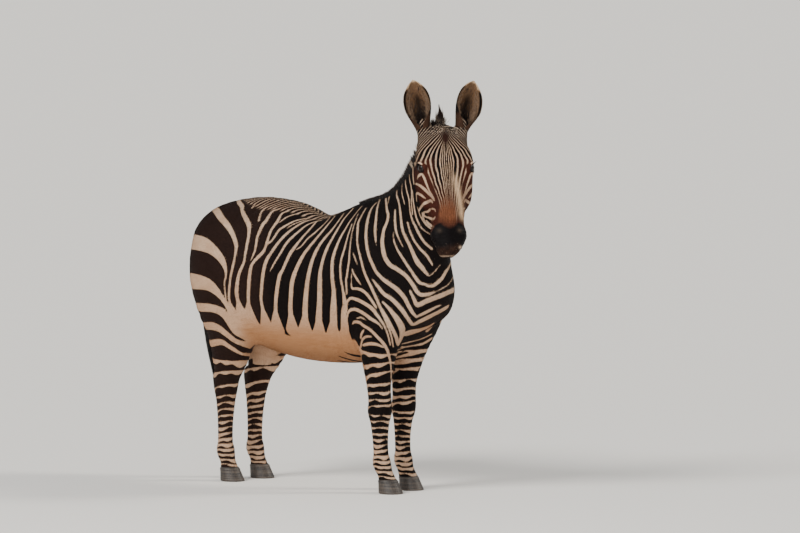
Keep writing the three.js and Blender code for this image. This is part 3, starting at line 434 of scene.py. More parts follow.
def from_eye(h, over=0):
    """How far head points lie from the front of an eye, or from a place so far over it."""
    front = [EYE["along"], EYE["side"] + 12, EYE["out"] + 2 + over]
    return np.linalg.norm(as_left(h) - front, axis=1)


def lid_axes(m):
    """Points of the head, both sides as the left, in the axes of the opening between the lids."""
    o = (m - np.array(LIDS_MIDDLE, float)) @ turning(LIDS_TURNS)
    x, y, z = o.T
    return np.stack([x * SLANT[0] + z * SLANT[1], y, z * SLANT[0] - x * SLANT[1]], 1)


def lid_ratio(h, along=0):
    """How far out from the middle of the eye, or from a place along it: 1 at the rim of the lids."""
    o = lid_axes(as_left(h))
    return np.hypot((o[:, 0] - along) / LIDS[0], o[:, 2] / LIDS[2])


def lid_line(h):
    """How far a place is on the pale line over the upper lid, 0 to 1."""
    o = lid_axes(as_left(h))
    off = np.abs(o[:, 2] + 0.014 * o[:, 0] ** 2 - 20.5)
    return smoothstep(3.6, 2.2, off) * smoothstep(6, -2, o[:, 0]) * smoothstep(-36, -28, o[:, 0])


def carve_eyes(m, d):
    """Lids, their folds and the opening between them, in distances d at head points m, as the left side."""
    ball = np.linalg.norm(m - [EYE["along"], EYE["side"], EYE["out"]], axis=1)
    i = np.nonzero(ball < 90)[0]
    if not len(i):
        return d
    f = smooth_min(d[i], ball[i] - EYE["lid"] + 0.6, 16)
    o = lid_axes(m[i])
    x, z = o[:, 0] / LIDS[0], o[:, 2] / LIDS[2]
    almond = np.sqrt(x * x + z * z)
    front = smoothstep(-8, 2, o[:, 1])
    above = z - 0.35 * np.abs(x)
    for height, middle, width, begins, whole, upper in LID_FOLDS:
        f = f + height * hill((almond, middle, width)) * front * smoothstep(begins, whole, upper * above)
    f = f - 0.9 * hill((almond, 1.28, 0.2)) * front
    d = d.copy()
    d[i] = smooth_max(f, -ellipsoid(*o.T, *LIDS), 2.2)
    return d


def face_details(h, d):
    """Lids, nostrils and the line of the mouth, cut into the head's distance d at head points h."""
    m = as_left(h)
    x, y, z = m.T
    d = carve_eyes(m, d)
    n = (m - np.array(NOSTRIL, float)) @ turning(NOSTRIL_TURNS)
    d = smooth_max(d, -ellipsoid(*n.T, *NOSTRIL_SIZE), 6)
    line = -45 + 9 * np.clip((520 - x) / 60, 0, 1) ** 2
    lips = np.abs(z - line) - mix(2.6, 0.5, np.clip((470 - x) / 30, 0, 1))
    d = smooth_max(d, -(np.maximum(lips, -(d + 9)) + 3 * smoothstep(452, 440, x)), 2.5)
    # the groove of the upper lip and faint wrinkles round the nostrils and the corner of the mouth
    d = d + 1.6 * hill((y, 0, 3.5)) * smoothstep(505, 530, x) * smoothstep(-44, -20, z)
    ripple = np.sin(x / 2.6 + 0.05 * z + 2 * np.sin(z / 9))
    return d + 0.45 * ripple * smoothstep(415, 460, x) * smoothstep(22, 40, y) * smoothstep(530, 500, x)


def skin_field(points):
    d = body_field(points)
    h = to_head(points)
    i = np.nonzero(within(h, (60, 620), 190, (-180, 150)))[0]
    if len(i):
        d[i] = face_details(h[i], d[i])
    depth = mix(COAT_DEPTH, MUZZLE_DEPTH, smoothstep(300, 470, h[:, 0]) * (np.abs(h[:, 1]) < 150))
    return d + depth


def slope(field, points):
    """The direction in which a field grows."""
    step = 0.6
    g = np.empty_like(points)
    for axis, e in enumerate(step * np.eye(3)):
        g[:, axis] = field(points + e) - field(points - e)
    return unit(g)


def settle(points, field, rounds, most):
    """Moves points along the field's slope on to its surface, at most so far in each round."""
    points = points.copy()
    for _ in range(rounds):
        d = field(points)
        off = np.nonzero(np.abs(d) > 0.05)[0]
        if not len(off):
            break
        points[off] -= slope(field, points[off]) * np.clip(d[off], -most, most)[:, None]
    return points


# ------------------------------------------------------------------ the skin's mesh
def surface(field, low, high, cell):
    """Quads of the field's zero surface; only the layers near it are worked out at the finest step."""
    levels = 3
    size = np.ceil((np.array(high) - low) / (cell * 2**levels)).astype(int) + 1
    values = None
    for level in range(levels, -1, -1):
        step = cell * 2**level
        shape = size * 2 ** (levels - level)
        grid = np.stack(np.meshgrid(*[np.arange(n) for n in shape], indexing="ij"), -1).reshape(-1, 3)
        if values is None:
            values = np.full(shape, 0.0)
            todo = np.arange(len(grid))
        else:
            for axis in range(3):
                values = np.repeat(values, 2, axis)
            todo = np.nonzero(np.abs(values.ravel()) < step * 3.6 + 2)[0]
        flat = values.ravel()
        flat[todo] = field(np.array(low, float) + (grid[todo] + 0.5) * step)
        values = flat.reshape(shape)
    g = openvdb.FloatGrid(cell)
    g.copyFromArray(np.ascontiguousarray(values.astype(np.float32)))
    g.transform = openvdb.createLinearTransform(cell)
    points, quads = g.convertToQuads(0.0)
    return np.array(low, float) + points + cell / 2, quads[:, ::-1]


def mesh_from(name, points, faces):
    mesh = bpy.data.meshes.new(name)
    points, faces = np.asarray(points, np.float32), np.asarray(faces, np.int32)
    mesh.vertices.add(len(points))
    mesh.vertices.foreach_set("co", points.ravel())
    corners = faces.shape[1]
    mesh.loops.add(faces.size)
    mesh.loops.foreach_set("vertex_index", faces.ravel())
    mesh.polygons.add(len(faces))
    mesh.polygons.foreach_set("loop_start", np.arange(0, faces.size, corners, dtype=np.int32))
    mesh.update(calc_edges=True)
    return mesh


def piece(name, mesh, material):
    obj = bpy.data.objects.new(name, mesh)
    bpy.context.scene.collection.objects.link(obj)
    mesh.materials.append(material)
    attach(obj, "root")
    return obj


def refine(mesh, chosen):
    """Splits in four the faces whose middles chosen() picks."""
    bm = bmesh.new()
    bm.from_mesh(mesh)
    middles = np.array([f.calc_center_median() for f in bm.faces])
    pick = chosen(middles)
    edges = {e for f, use in zip(bm.faces, pick) if use for e in f.edges}
    bmesh.ops.subdivide_edges(bm, edges=list(edges), cuts=1, use_grid_fill=True)
    bm.to_mesh(mesh)
    bm.free()


def coordinates(mesh):
    co = np.empty(len(mesh.vertices) * 3, np.float32)
    mesh.vertices.foreach_get("co", co)
    return co.reshape(-1, 3).astype(float)


def corners_of(mesh):
    """The vertex at each corner of a mesh's faces, and where each face's corners start."""
    corners, starts = np.empty(len(mesh.loops), np.int32), np.empty(len(mesh.polygons), np.int32)
    mesh.loops.foreach_get("vertex_index", corners)
    mesh.polygons.foreach_get("loop_start", starts)
    return corners, starts


def near_face(middles):
    return within(to_head(middles), (-70, 600), 170, (-175, math.inf)) & (middles[:, 2] > 1100)


def near_features(middles):
    h = to_head(middles)
    return (from_eye(h) < 46) | within(h, (436, 600), 100, (-110, math.inf))


def make_skin():
    points, quads = surface(coated_field, *SKIN_BOX, CELL)
    mesh = mesh_from("skin", points, quads)
    refine(mesh, near_face)
    refine(mesh, near_features)
    points = settle(coordinates(mesh), skin_field, 3, 4.0)
    fine = np.nonzero(near_features(points))[0]
    points[fine] = settle(points[fine], skin_field, 8, 2.0)
    mesh.vertices.foreach_set("co", points.astype(np.float32).ravel())
    return mesh, points


# ------------------------------------------------------------------ the camera's place
# In metres, in the row frame; places of the picture are in pixels.
CAMERA_TURN, CAMERA_RISE, CAMERA_FAR = math.radians(36), math.radians(5.5), 60.0
RIGHT = np.array([math.cos(CAMERA_TURN), math.sin(CAMERA_TURN), 0])
BACK = np.array([
    math.sin(CAMERA_TURN) * math.cos(CAMERA_RISE),
    -math.cos(CAMERA_TURN) * math.cos(CAMERA_RISE),
    math.sin(CAMERA_RISE),
])
RISE = np.cross(BACK, RIGHT)
PHOTO = (800, 533)
SCALE = 230.0  # pixels a metre
AIM = RIGHT * 0.2587 + RISE * 0.9574


# ------------------------------------------------------------------ the stripes
# Middle lines of the pale stripes where the picture shows them: across, down and half-width in pixels.
STRIPES = {
    "haunch_1": "193.7 241.9 7.5, 203.7 244.4 7, 211.2 248.7 5.5, 217.5 254.4 4.4, 222.5 261.2 3.4, "
    "225.6 270 1.7, 225.6 277.5 0.9, 224.4 282.5 0.8, 225 292.5 0.8, 226 299 0.8",
    "haunch_2": "191.9 281.2 8, 201.2 282.5 7, 208.7 285 6, 215 290 4.5, 220.6 296.2 3.2, "
    "225.6 302.5 2.2, 229.4 308.7 1.3, 233.1 315.6 1.2, 235 320 1.2",
    "haunch_3": "200 307.5 4.4, 210 307.9 4.1, 218.1 310.2 4, 223.7 314.7 3.5, 227.9 321 2.8, "
    "235 331.2 3, 243 334.5 3.4, 250 337 4",
    "haunch_4": "205.6 326.2 3.7, 212.5 326.2 4, 219.4 328.7 3.5, 225 333.1 3, 230.6 337.5 2.8, "
    "235 340.6 2.5, 243 344 2.6, 251 346.5 2.8",
    "haunch_5": "210.7 343.6 3.5, 220.7 342.1 3, 227.9 345.7 2.4, 239.3 352.9 1.5, 246 354.5 1.7, "
    "252 354.5 1.8",
    "rump_1": "212.5 206 2.5, 215 209 3.4, 218 213.1 3.6, 221.9 219 3.2, 226.9 224.7 3, 231.5 232.1 2.6, "
    "234.7 239.6 2.2, 236.2 246.2 1.9, 235.6 251.9 1.3, 234.4 258.7 1.1, 232.5 267.5 1.3, "
    "230.4 277.5 1.1, 229 292.5 1.2, 229.5 301.2 1.2, 233.1 312.5 1.2, 236.2 319 1.2",
    "rump_2": "236.5 198.5 1.6, 238.5 200.5 2, 239.4 203 2.2, 241.9 206.2 2.2, 242 210 1.5, 243.5 214 2, "
    "248.5 224 2.4, 249.1 229.4 1.9, 248.5 236.2 1.4, 246.2 248.7 1.5, 245 255 1.2, 243.7 262.5 1.3, "
    "238.7 275 1.6, 236.5 290 2, 237.2 297.5 1.9, 240.6 312.5 1.8, 243.7 320 2, 247.5 326.2 2.4",
    "rump_3": "258.7 220.6 1, 260 215 0.9, 261.9 211.2 0.9, 266.2 207.5 0.8, 272.5 205.6 0.7, "
    "280 204.4 0.6",
    "rump_4": "252 208 1, 255 205 0.9, 260 203 0.8, 266 201 0.7",
    "rump_5": "250.6 260.6 0.4, 253.1 255 1, 255 250 1.2, 256.2 243.7 1.3, 257.5 236.2 1.2, "
    "262.5 225 1.5, 265.6 221.2 1.5, 271.2 212.5 1.2, 275 210 1.1, 281.2 207.5 0.8, 288.7 206.9 0.6",
    "loin_1": "254.4 327.5 3, 251.2 320 2.3, 248.5 302.5 1.8, 248.7 285 1.9, 249.4 276.2 1.9, "
    "250.6 268.7 1.8, 253.1 262.5 1.5, 262.5 252.5 1.7, 265 248.1 1.4, 268.7 236.2 1.3, 271.2 230 1.2, "
    "276.9 221.9 1.4, 281.2 214.4 1, 285 211.9 0.9, 291.2 210.6 0.7",
    "loin_2": "266.9 243.1 1, 271.2 241.2 1, 278.1 231.2 1.2, 282.5 227.5 1.1, 293.7 221.4 0.8, "
    "303 219 0.6, 313 217.8 0.5, 320 218.5 0.4",
    "loin_5": "279.5 222.5 0.5, 283 219.5 0.7, 288 216.5 0.7, 296 214 0.6, 306 213 0.5, 315 215.5 0.4",
    "loin_6": "287 228.3 0.4, 290 226.3 0.5, 294 224 0.6, 300 221.7 0.5, 307 219.4 0.4",
    "loin_3": "267.5 328.7 3, 265 320 2.4, 261.2 301.2 1.8, 261.2 292.5 1.9, 262.7 276.2 2, "
    "265.6 262.5 1.9, 271.2 252.5 1.6, 279.4 241.2 1.4, 288.7 231.9 1.3, 299.4 224.4 0.9, 308 220.6 0.7, "
    "318 218.8 0.5",
    "loin_4": "269.7 271.9 0.3, 272.5 266.2 0.8, 280 253.7 1.1, 287.5 241.9 1.3, 297.5 232.5 1.2, "
    "306 225.6 0.9, 314 222 0.7, 323 220 0.5",
    "flank_1": "277.5 327.5 3, 275.6 310 2.1, 276.6 292.5 2.1, 279.4 276.2 2, 282.5 270 1.6, "
    "288.7 256.2 1.7, 292.5 250 1.8, 301.2 238.7 1.2, 311.2 227.5 1, 317 221 0.8",
    "flank_2": "295.6 250 0.4, 301.2 246.2 0.8, 307.5 238.7 0.9, 315 232.5 1, 325 223.1 0.8, 330 217 0.7",
    "flank_3": "291.9 328.7 3, 290.4 310 2.7, 290.6 300 2.3, 292.2 281.2 2.4, 297.5 266.2 2, "
    "305 252.5 1.7, 315 240 1.4, 325 228.1 1.2, 335 216 0.8",
    "flank_4": "305.6 337 3.6, 305.6 330 3.6, 305 311.2 3, 306.2 291.2 2.4, 308.7 273.7 2, "
    "313.7 256.2 1.8, 321.2 242.5 1.5, 331.2 230.6 1.3, 338.7 220.6 0.8, 344 213 0.7",
    "flank_5": "319 340 3.8, 318.7 330 3.4, 318.7 320 3.5, 319.5 301.2 2.6, 319.7 282.5 2.3, "
    "321 267.5 1.7, 326.2 250 1.5, 335 233.7 1.3, 342.5 221.2 1.1, 346.2 216.2 0.9, 353 208.5 0.7",
    "flank_6": "334 346 4.4, 333.7 330 4, 333.5 311.2 3.5, 333.7 292.5 2.2, 332.1 276.2 1.8, "
    "332.7 258.7 1.6, 338.7 241.2 1.4, 346.2 227.5 1.1, 350 221.2 0.9, 357.5 211.2 0.6, 362 206 0.6",
    "flank_7": "346 350 5, 345 330 4.5, 344.7 311.2 3.5, 345 305 2.5, 343.1 291.2 1.2, 340.6 277.5 1.1, "
    "340.6 262.5 1.1, 344.4 248.7 1, 348.1 235 0.8, 352 224 0.7",
    "flank_8": "346.9 293.7 0.9, 346 281.2 1, 346.9 275 1.1, 349 260 1, 349.4 252.5 0.9, 351.2 237.5 0.7, "
    "354 225 0.6, 358 214 0.6",
    "shoulder_1": "366 208 0.8, 361.9 215 0.9, 358.7 221.2 1.1, 357.7 227.5 1.2, 357.2 242.5 1, "
    "360 256.2 1.1, 364.4 272.5 1.3, 371.2 287.5 1.5, 378.1 302.5 1.5, 383.3 315 1.2, 388.3 327 0.9, "
    "391.5 337 0.8, 393.3 347 0.6",
    "shoulder_2": "376 203 0.8, 372.5 207 0.9, 369.4 213 1.1, 366.5 226 1.4, 366 240 1.4, 368.7 255 1.5, "
    "375 270 1.5, 378.7 275 1.5, 383.7 280 1.7",
    "shoulder_3": "380 199 0.7, 378.7 202.5 0.8, 376.9 210 1, 375.4 225 1.3, 375 232.5 1.2, "
    "375.6 238.7 1, 376.2 245 0.4",
    "elbow_1": "353.1 253.1 0.6, 355 258.7 0.8, 357.5 265 0.5",
    "elbow_2": "351.9 268.7 0.6, 354.4 275 1, 357.5 280 1.2, 360.6 284.4 0.5",
    "elbow_3": "352.1 270 0.5, 351.2 280 0.6, 352 288 1.1, 357.5 288.7 1.3, 362.5 290.6 1.6, "
    "367.5 295 1.7, 371.9 301.2 1.5, 376.2 307.5 1.1",
    "elbow_4": "346.9 307.5 0.5, 347.3 301.5 1, 351.2 298.2 1.4, 357.5 299.8 1.7, 362.5 302.3 1.8, "
    "368 305.7 1.9, 373 309.8 2, 376.5 314.5 1.8, 380.5 320 1.4, 384.5 326.5 0.9, 387.8 335 0.8, "
    "390.3 345 0.7",
    "elbow_5": "347.3 321 0.5, 347.7 314 0.9, 350.2 310.2 1.4, 355 309.3 1.6, 360.5 311.6 1.7, "
    "365.5 314.8 1.7, 370.5 318.6 1.8, 375 321.3 1.5, 379 324.4 1, 382.5 329 0.6",
    "elbow_6": "356.5 318.4 0.5, 361 317.6 0.8, 366 320.2 0.5",
    "elbow_7": "352.5 324 0.7, 354.5 322 1.3, 359.5 322.6 1.5, 363 325.4 1.5, 367.5 328 1.5, "
    "372.5 332 1.6, 378 337.7 1.6, 383 343 1.6, 387 349.5 1.4, 389.3 357 1.1, 390.8 365 0.9, "
    "391.2 380 0.8, 390.6 392 0.7",
    "elbow_8": "363.8 330.3 0.9, 361.7 333.5 1.3, 360.6 338 1",
    "elbow_9": "361 347 0.7, 362 341 1, 365.5 337 1.2, 371.5 336.6 0.8",
    "elbow_10": "363.2 345.3 1.2, 369.5 343.8 1.6, 376.5 344.4 1.5, 383 347.2 0.8",
    "neck_1": "388.5 189.5 0.4, 386 194 0.7, 385.6 197.5 0.9, 386.9 210 1.2, 388.1 215 1.4, "
    "387.5 220 1.4, 385.2 226.2 1.3, 383.5 231.2 1.5, 382.2 240 1.7, 382.5 246.2 1.8, 383.8 253.8 2, "
    "385.6 258.8 2, 390 265 2, 396.2 268.8 1.9, 402.5 273.1 1.8, 407.5 277.5 1.8, 411.2 282.5 1.8, "
    "414.4 287.5 1.8, 417.5 292.5 1.8, 421.2 294.8 1.8, 427.5 294.6 1.6, 431.5 293.3 1.3, 435 292 0.8",
    "neck_2": "395 210 0.9, 395 220 1.2, 395.9 230 1.1, 398.8 238.8 0.7, 402.9 246.9 0.4",
    "neck_3": "393.1 231.2 0.3, 393.8 240 0.7, 396.2 247.5 0.8, 400.6 255 1.1, 406.2 263.8 1.2, "
    "411.2 271.2 1.3, 416.2 278.8 1.5, 420 283.1 1.4, 425 284.2 1",
    "neck_4": "400.5 177.5 0.4, 398.5 183 0.7, 397 189 0.8, 396.6 195 0.9, 398.8 202.5 1, 400 210 1.1, "
    "401 220 1.2, 402.5 230 1.3, 406.2 238.8 1.4, 410 246.2 1.5, 413.8 255 1.8, 417.5 262.5 2.2, "
    "421.9 267.5 2.1, 425.6 272.5 1.5, 429.4 275.6 0.6, 435 271.2 0.6, 440 265 0.5",
    "neck_6": "394.5 183.5 0.4, 392.3 188 0.8, 390 194 0.9, 388.7 199.5 0.7, 388.3 203.5 0.4",
    "neck_5": "407.5 222.5 0.8, 410 231.2 0.9, 413.8 240 1, 420 248.8 1.1, 426.2 255 1.2, 429.4 260 1, "
    "432.5 265 0.8",
    "chest_1": "383.8 280 1.8, 390 284.4 1.9, 396.2 288.8 2, 401.2 293.8 2, 405 298.8 1.9, "
    "408.8 306.2 1.8, 412.5 312.5 1.6, 416.2 316.9 1.2",
    "chest_2": "410 291.2 1, 413.8 298.8 1.5, 417.5 305 2.2, 425 301.9 2.4, 432.5 298.8 2.5, "
    "442.5 295 2.6, 453.8 290 2.6",
    "chest_3": "371.9 278.8 0.6, 377.5 286.2 1.5, 383.8 293.8 1.8, 391.2 298.8 1.9, 397.5 305 2, "
    "403.8 312.5 2, 408.8 320 1.8, 413.1 324.5 2, 420 321.5 3, 430 316.5 3.2, 440 311.5 3, 447.5 307 2.4",
    "chest_4": "382.5 301.9 0.9, 388.5 308 1.5, 394.5 315.5 2.3, 399.5 323 3, 402.5 331 3.4, 401 339 2.6, "
    "398.5 345 1.4",
    "chest_5": "380 306 0.8, 384 313 1.3, 388.5 321 1.5, 392.5 329 1.6, 396 337 1.8, 398 344 1.8",
    "throat_1": "423.8 283.8 1.1, 427.3 285.6 1.2, 430.5 286.2 1.2, 434.8 284.8 1.6, 441.4 279 1.7, "
    "445.6 272.3 1.5, 448.9 267.4 1.2, 452.2 259.9 0.7",
    "throat_2": "434.8 292.2 0.5, 441.4 288.9 0.7, 448.9 283.9 0.7, 453.5 275.7 0.6, 454 268.2 0.4",
    "breast_1": "416.4 317.3 1, 420 315.3 1.5, 423.6 313.6 1.7, 429.8 310.4 1.7, 436.5 307 1.3, "
    "441.4 305 0.7",
    "breast_2": "403 334.5 2.2, 409.9 332.5 3.9, 419.9 330 3.8, 428.2 327 3, 433 323.8 1.8",
    "breast_3": "402 344 0.8, 410 342 1, 418 340 1, 425 337.4 1, 431.5 334.1 0.8",
    "arm_1": "397.5 350.3 0.8, 405.8 347 1.3, 415.7 345.3 1.5, 424 343.2 1.7, 431.5 338.7 1.7",
    "arm_2": "395.8 357.7 1.3, 403.3 355.7 1.7, 413.2 353.6 1.8, 426.5 350.7 1.5",
    "arm_3": "395 363.5 1.3, 405 362.3 1.7, 413.2 360.6 1.7, 423.2 360.2 1.2",
    "arm_4": "395 368.9 0.7, 405 369.4 0.7, 418.2 370.2 0.8",
}
FACE_STRIPES = {
    "brow_low": "411.8 165.5 0.6, 413.9 163.5 0.9, 416.7 163.3 0.9, 419 164.4 0.6, 420.8 166.3 0.4",
    "under_eye": "417.4 178.5 0.9, 418.5 176 1.3, 421.7 174.1 1.1, 423.9 177.4 1.3, 426.4 183.8 1.1, "
    "429.1 190.3 0.8, 431.9 194.9 0.6, 434.2 198.6 0.5",
    "cheek_1": "415.9 183.8 0.9, 419.9 185.7 1.3, 424.1 188.9 1.5, 428.2 193.1 1.3, 431.5 196.8 0.9, "
    "434.4 200.7 0.6",
    "cheek_2": "416.7 201.4 0.6, 416.5 196.8 0.8, 416.7 193.5 1.1, 419.9 194.5 1.3, 422.7 196.3 1.1, "
    "425.7 198.6 0.4",
    "cheek_3": "419.2 210.7 0.8, 420.8 207.4 1.1, 424.1 203.7 1.3, 427.8 201.9 1.5, 431 200.7 1.3, "
    "432.6 202.8 0.7",
    "whorl_out": "430.5 209.3 1.1, 427.8 211.6 1.1, 424.2 212.5 1.1, 423.6 215.3 1.3, 426.8 217.1 1.3, "
    "430.5 218.5 1.3, 433.8 219 1.1, 435 217.1 0.7",
    "whorl_in": "431.9 208.8 0.9, 434.4 209.3 0.7, 435.6 211.6 0.5",
    "lip_back": "426.4 220.8 0.7, 428.7 223.6 1.1, 431.9 225.9 1.1, 434.2 227.3 0.6",
    "jaw_1": "422.2 212.5 0.5, 422.7 216.2 0.6, 424.2 220.4 0.6, 426.4 224.1 0.6, 429.6 227.3 0.6, "
    "432.4 228.7 0.5",
    "jaw_2": "417.5 207 0.4, 420 215 0.5, 424 222.5 0.5, 427.5 226.5 0.5, 431 229 0.4",
    "jaw_4": "412.5 190.3 0.6, 413 198.6 0.8, 414.3 208 0.8, 416.5 218 0.8, 420.5 226.5 0.7, 425 231 0.6, "
    "430 234 0.5",
    "jaw_5": "410.5 169 0.5, 409.3 174.5 0.6, 409.7 180.1 0.7, 411.1 186.6 0.9, 411.6 194 0.7, "
    "411.3 201.4 0.6, 412 208.8 0.6, 412.5 214.4 0.5",
    "jaw_6": "411 165.5 0.4, 408.5 169.5 0.6, 406.2 174.5 0.7, 405.4 180 0.8, 405.6 184.8 0.8, "
    "406.9 191.2 0.8, 408.8 198.6 0.7, 409.7 207 0.6, 410.2 212.5 0.6, 412.5 220.4 0.9, 415.3 226.4 1.1, "
    "419.9 235.6 1.1, 425 243 1.1, 431.9 249 1.1",
    "jaw_7": "407 170 0.4, 404.5 174 0.6, 402.8 179.5 0.7, 401.9 186.6 0.6, 401.9 193.1 0.6, "
    "403.2 198.6 0.6, 404.6 204.2 0.5",
    "temple": "413 167.2 1.1, 413 175.5 1.2, 413.9 183.8 0.8",
}
# Stripes carried on round the back of the thigh: height and angle of their ends.
WRAPS = {
    "haunch_1": (1020.0, 0.2), "haunch_2": (850.0, 0.15), "haunch_3": (745.0, 0.1), "haunch_4": (650.0, -0.3),
    "haunch_5": (600.0, -0.5),
}
# The middles that they go round, and the height at which one gives way to the other.
RUMP, THIGH, THIGH_TOP = (-420.0, -50.0, 0), (-400.0, -132.0, 0), 760
# Stripes made up on the upper neck's left side: lowest, highest, count, half-width, least gap to others.
NECK_RINGS = (1130, 1528, 11, 5.6, 19)
# Rings of the legs: height behind, height in front and half-width, in mm.
FRONT_RINGS = [
    (624, 607, 6), (546, 570, 6), (496, 530, 5.5), (466, 478, 5), (431, 441, 4.5),
    (400, 409, 4.5), (366, 384, 4.5), (339, 337, 4.5), (308, 312, 4.5), (280, 285, 4.5), (254, 256, 4.5),
    (229, 232, 4.5), (206, 207, 5), (183, 184, 5), (160, 160, 5), (138, 137, 5), (116, 114, 5), (95, 92, 5),
    (74, 70, 4),
]
HIND_RINGS = [
    (532, 526, 11), (458, 484, 8), (388, 424, 5.5), (352, 376, 5), (322, 345, 5), (294, 317, 5),
    (270, 288, 5), (246, 260, 5), (222, 233, 5), (199, 208, 5), (177, 184, 5), (155, 160, 5), (134, 137, 5),
    (113, 114, 5), (92, 91, 5), (73, 70, 4),
]
# Lines across the jaw behind the cheeks: place along the face, half-width and reach down, in mm.
JAW_LINES = [
    (84, 4, 90), (106, 4.5, 96), (128, 4.5, 90), (151, 5, 108), (172, 4, 70), (195, 5.5, 120), (221, 6, 126),
    (247, 3.8, 80), (272, 5.5, 118), (300, 5, 96), (324, 4, 70), (347, 5.5, 106), (371, 4, 64), (394, 5, 84),
]
# Lines down the forehead: place along the face, then how far from the middle lines 3 to 9 lie there, in mm.
FOREHEAD = [
    (-60, 3, 4, 5, 6, 7, 8, -33), (0, 3, 4, 6, 8, 10, 13, 17), (20, 3, 5, 8, 11, 16, 24, 36),
    (44, 4, 8, 14, 23, 36, 54, 71), (54, 6, 11, 20, 31, 46, 65, 82), (69, 9, 18, 32, 45, 61, 81, 98),
    (83, 15, 27, 42, 57, 76, 97, 113), (98, 20, 34, 51, 67, 88, 110, 127),
    (123, 25, 43, 64, 80, 99, 122, 140), (147, 28, 48, 71, 91, 113, 135, 155),
    (172, 28, 48, 70, 90, 115, 140, 160), (250, 20, 35, 51, 66, 90, 110, 130),
    (320, 14, 23, 34, 44, 60, 80, 100), (380, 10, 17, 26, 33, 45, 60, 75),
    (430, 9, 16, 23, 30, 40, 52, 64),
]
FOREHEAD_SPACING = 14.7  # of the lines beyond those
FAR = 30.0  # from every edge of a stripe


def pixel_rays(uv):
    """Start and direction, in the animal's frame, of the sight lines through places of the picture."""
    across = (uv[:, 0] - PHOTO[0] / 2) / (SCALE * CAMERA_FAR)
    down = (uv[:, 1] - PHOTO[1] / 2) / (SCALE * CAMERA_FAR)
    ways = unit(-BACK + across[:, None] * RIGHT - down[:, None] * RISE)
    return (AIM + BACK * CAMERA_FAR) * 1000 + CENTRE, ways


def to_picture(points):
    p = place(points) - AIM
    scale = SCALE * CAMERA_FAR / (CAMERA_FAR - p @ BACK)
    return np.stack([PHOTO[0] / 2 + scale * (p @ RIGHT), PHOTO[1] / 2 - scale * (p @ RISE)], -1)


def stripe_points(text, tree):
    """A stripe's middle line where the picture shows it: places of the skin (n, 3) and half-widths in mm."""
    rows = np.array([[float(number) for number in point.split()] for point in text.split(",")])
    reach = np.linalg.norm(np.diff(rows[:, :2], axis=0), axis=1).sum()
    line = np.array([row_at(rows, t) for t in np.linspace(0, len(rows) - 1, int(reach / 0.5) + 2)])
    eye, ways = pixel_rays(line[:, :2])
    hits = [tree.ray_cast(Vector(eye), Vector(way))[0] for way in ways]
    found = [(*hit, w * 1000 / SCALE) for hit, w in zip(hits, line[:, 2]) if hit is not None]
    if len(found) < 2:
        return np.zeros((0, 3)), np.zeros(0)
    found = np.array(found)
    return filled(found[:, :3], found[:, 3])


def filled(found, width):
    """The same line with no gap over a step, save where it leaps from one form to another."""
    step, leap = 2.5, 70
    gap = np.linalg.norm(np.diff(found, axis=0), axis=1)
    parts, widths = [found[:1]], [width[:1]]
    for i, g in enumerate(gap):
        n = int(g / step) + 1 if g < leap else 1
        f = np.arange(1, n + 1)[:, None] / n
        parts.append(mix(found[i], found[i + 1], f))
        widths.append(mix(width[i], width[i + 1], f[:, 0]))
    return np.concatenate(parts), np.concatenate(widths)


def wrapped(point, width, z_end, angle_end):
    """Carries a stripe on from the rump's edge round the back of the thigh."""
    centre = np.array(RUMP if point[2] > THIGH_TOP else THIGH)
    start = math.atan2(-(point[1] - centre[1]), -(point[0] - centre[0]))
    t = np.linspace(0, 1, 60)
    a = mix(start, angle_end, t)
    z = mix(point[2], z_end, smoothstep(0, 1, t))
    line = skin_along(centre + z[:, None] * UP, np.stack([-np.cos(a), -np.sin(a), 0 * a], -1))
    return filled(line, mix(width, width * 0.8, t))


def seen(points, tree):
    """Whether nothing of the animal lies between places of its skin and the camera."""
    return np.array([tree.ray_cast(Vector(p + BACK * 20), Vector(BACK))[0] is None for p in points])


def distances(points, tree):
    return np.array([tree.find(Vector(p))[2] for p in points])


def neck_rings(tree, others):
    """Stripes of the upper neck's left side, which the picture doesn't show, clear of the other lines."""
    lowest, highest, count, half, clear = NECK_RINGS
    axis, back = np.array([0.45, 0, 0.89]), np.array([-0.89, 0, 0.45])
    a = np.linspace(0.25, 2.9, 110)
    ways = unit(np.cos(a)[:, None] * back + np.sin(a)[:, None] * np.array([0, 1.0, 0]))
    for k, z in enumerate(np.linspace(lowest, highest, count)):
        centre = np.array([*profile(NECK, z, 0, 1), z])
        sway = (8 * np.sin(2 * a + k) - 44 * np.sin(a) ** 2)[:, None]
        line = settle(skin_along(centre + axis * sway, ways), coated_field, 3, 10.0)
        free = ~seen(line, tree) & (distances(line, others) > clear) & (head_share(line) < 0.5)
        keep = np.nonzero(free)[0]
        for run in np.split(keep, np.nonzero(np.diff(keep) > 1)[0] + 1):
            if len(run) > 8:
                i = np.arange(len(run))
                ends = np.minimum(1, np.minimum(i, len(run) - 1 - i) / 8 + 0.3)
                yield filled(line[run], (half + math.sin(2.3 * k)) * ends)


def mirrored(points, is_face):
    """Places of the skin on the other side of the head's or the body's middle."""
    if is_face:
        return from_head(to_head(points) * [1, -1, 1])
    middle = profile(NECK, points[:, 2], 1)[0] * (points[:, 0] > 480)
    other = np.stack([points[:, 0], 2 * middle - points[:, 1], points[:, 2]], -1)
    return settle(other, coated_field, 3, 30.0)


def places_tree(places):
    places = np.concatenate(places)
    tree = KDTree(len(places))
    for i, p in enumerate(places):
        tree.insert(Vector(p), i)
    tree.balance()
    return tree


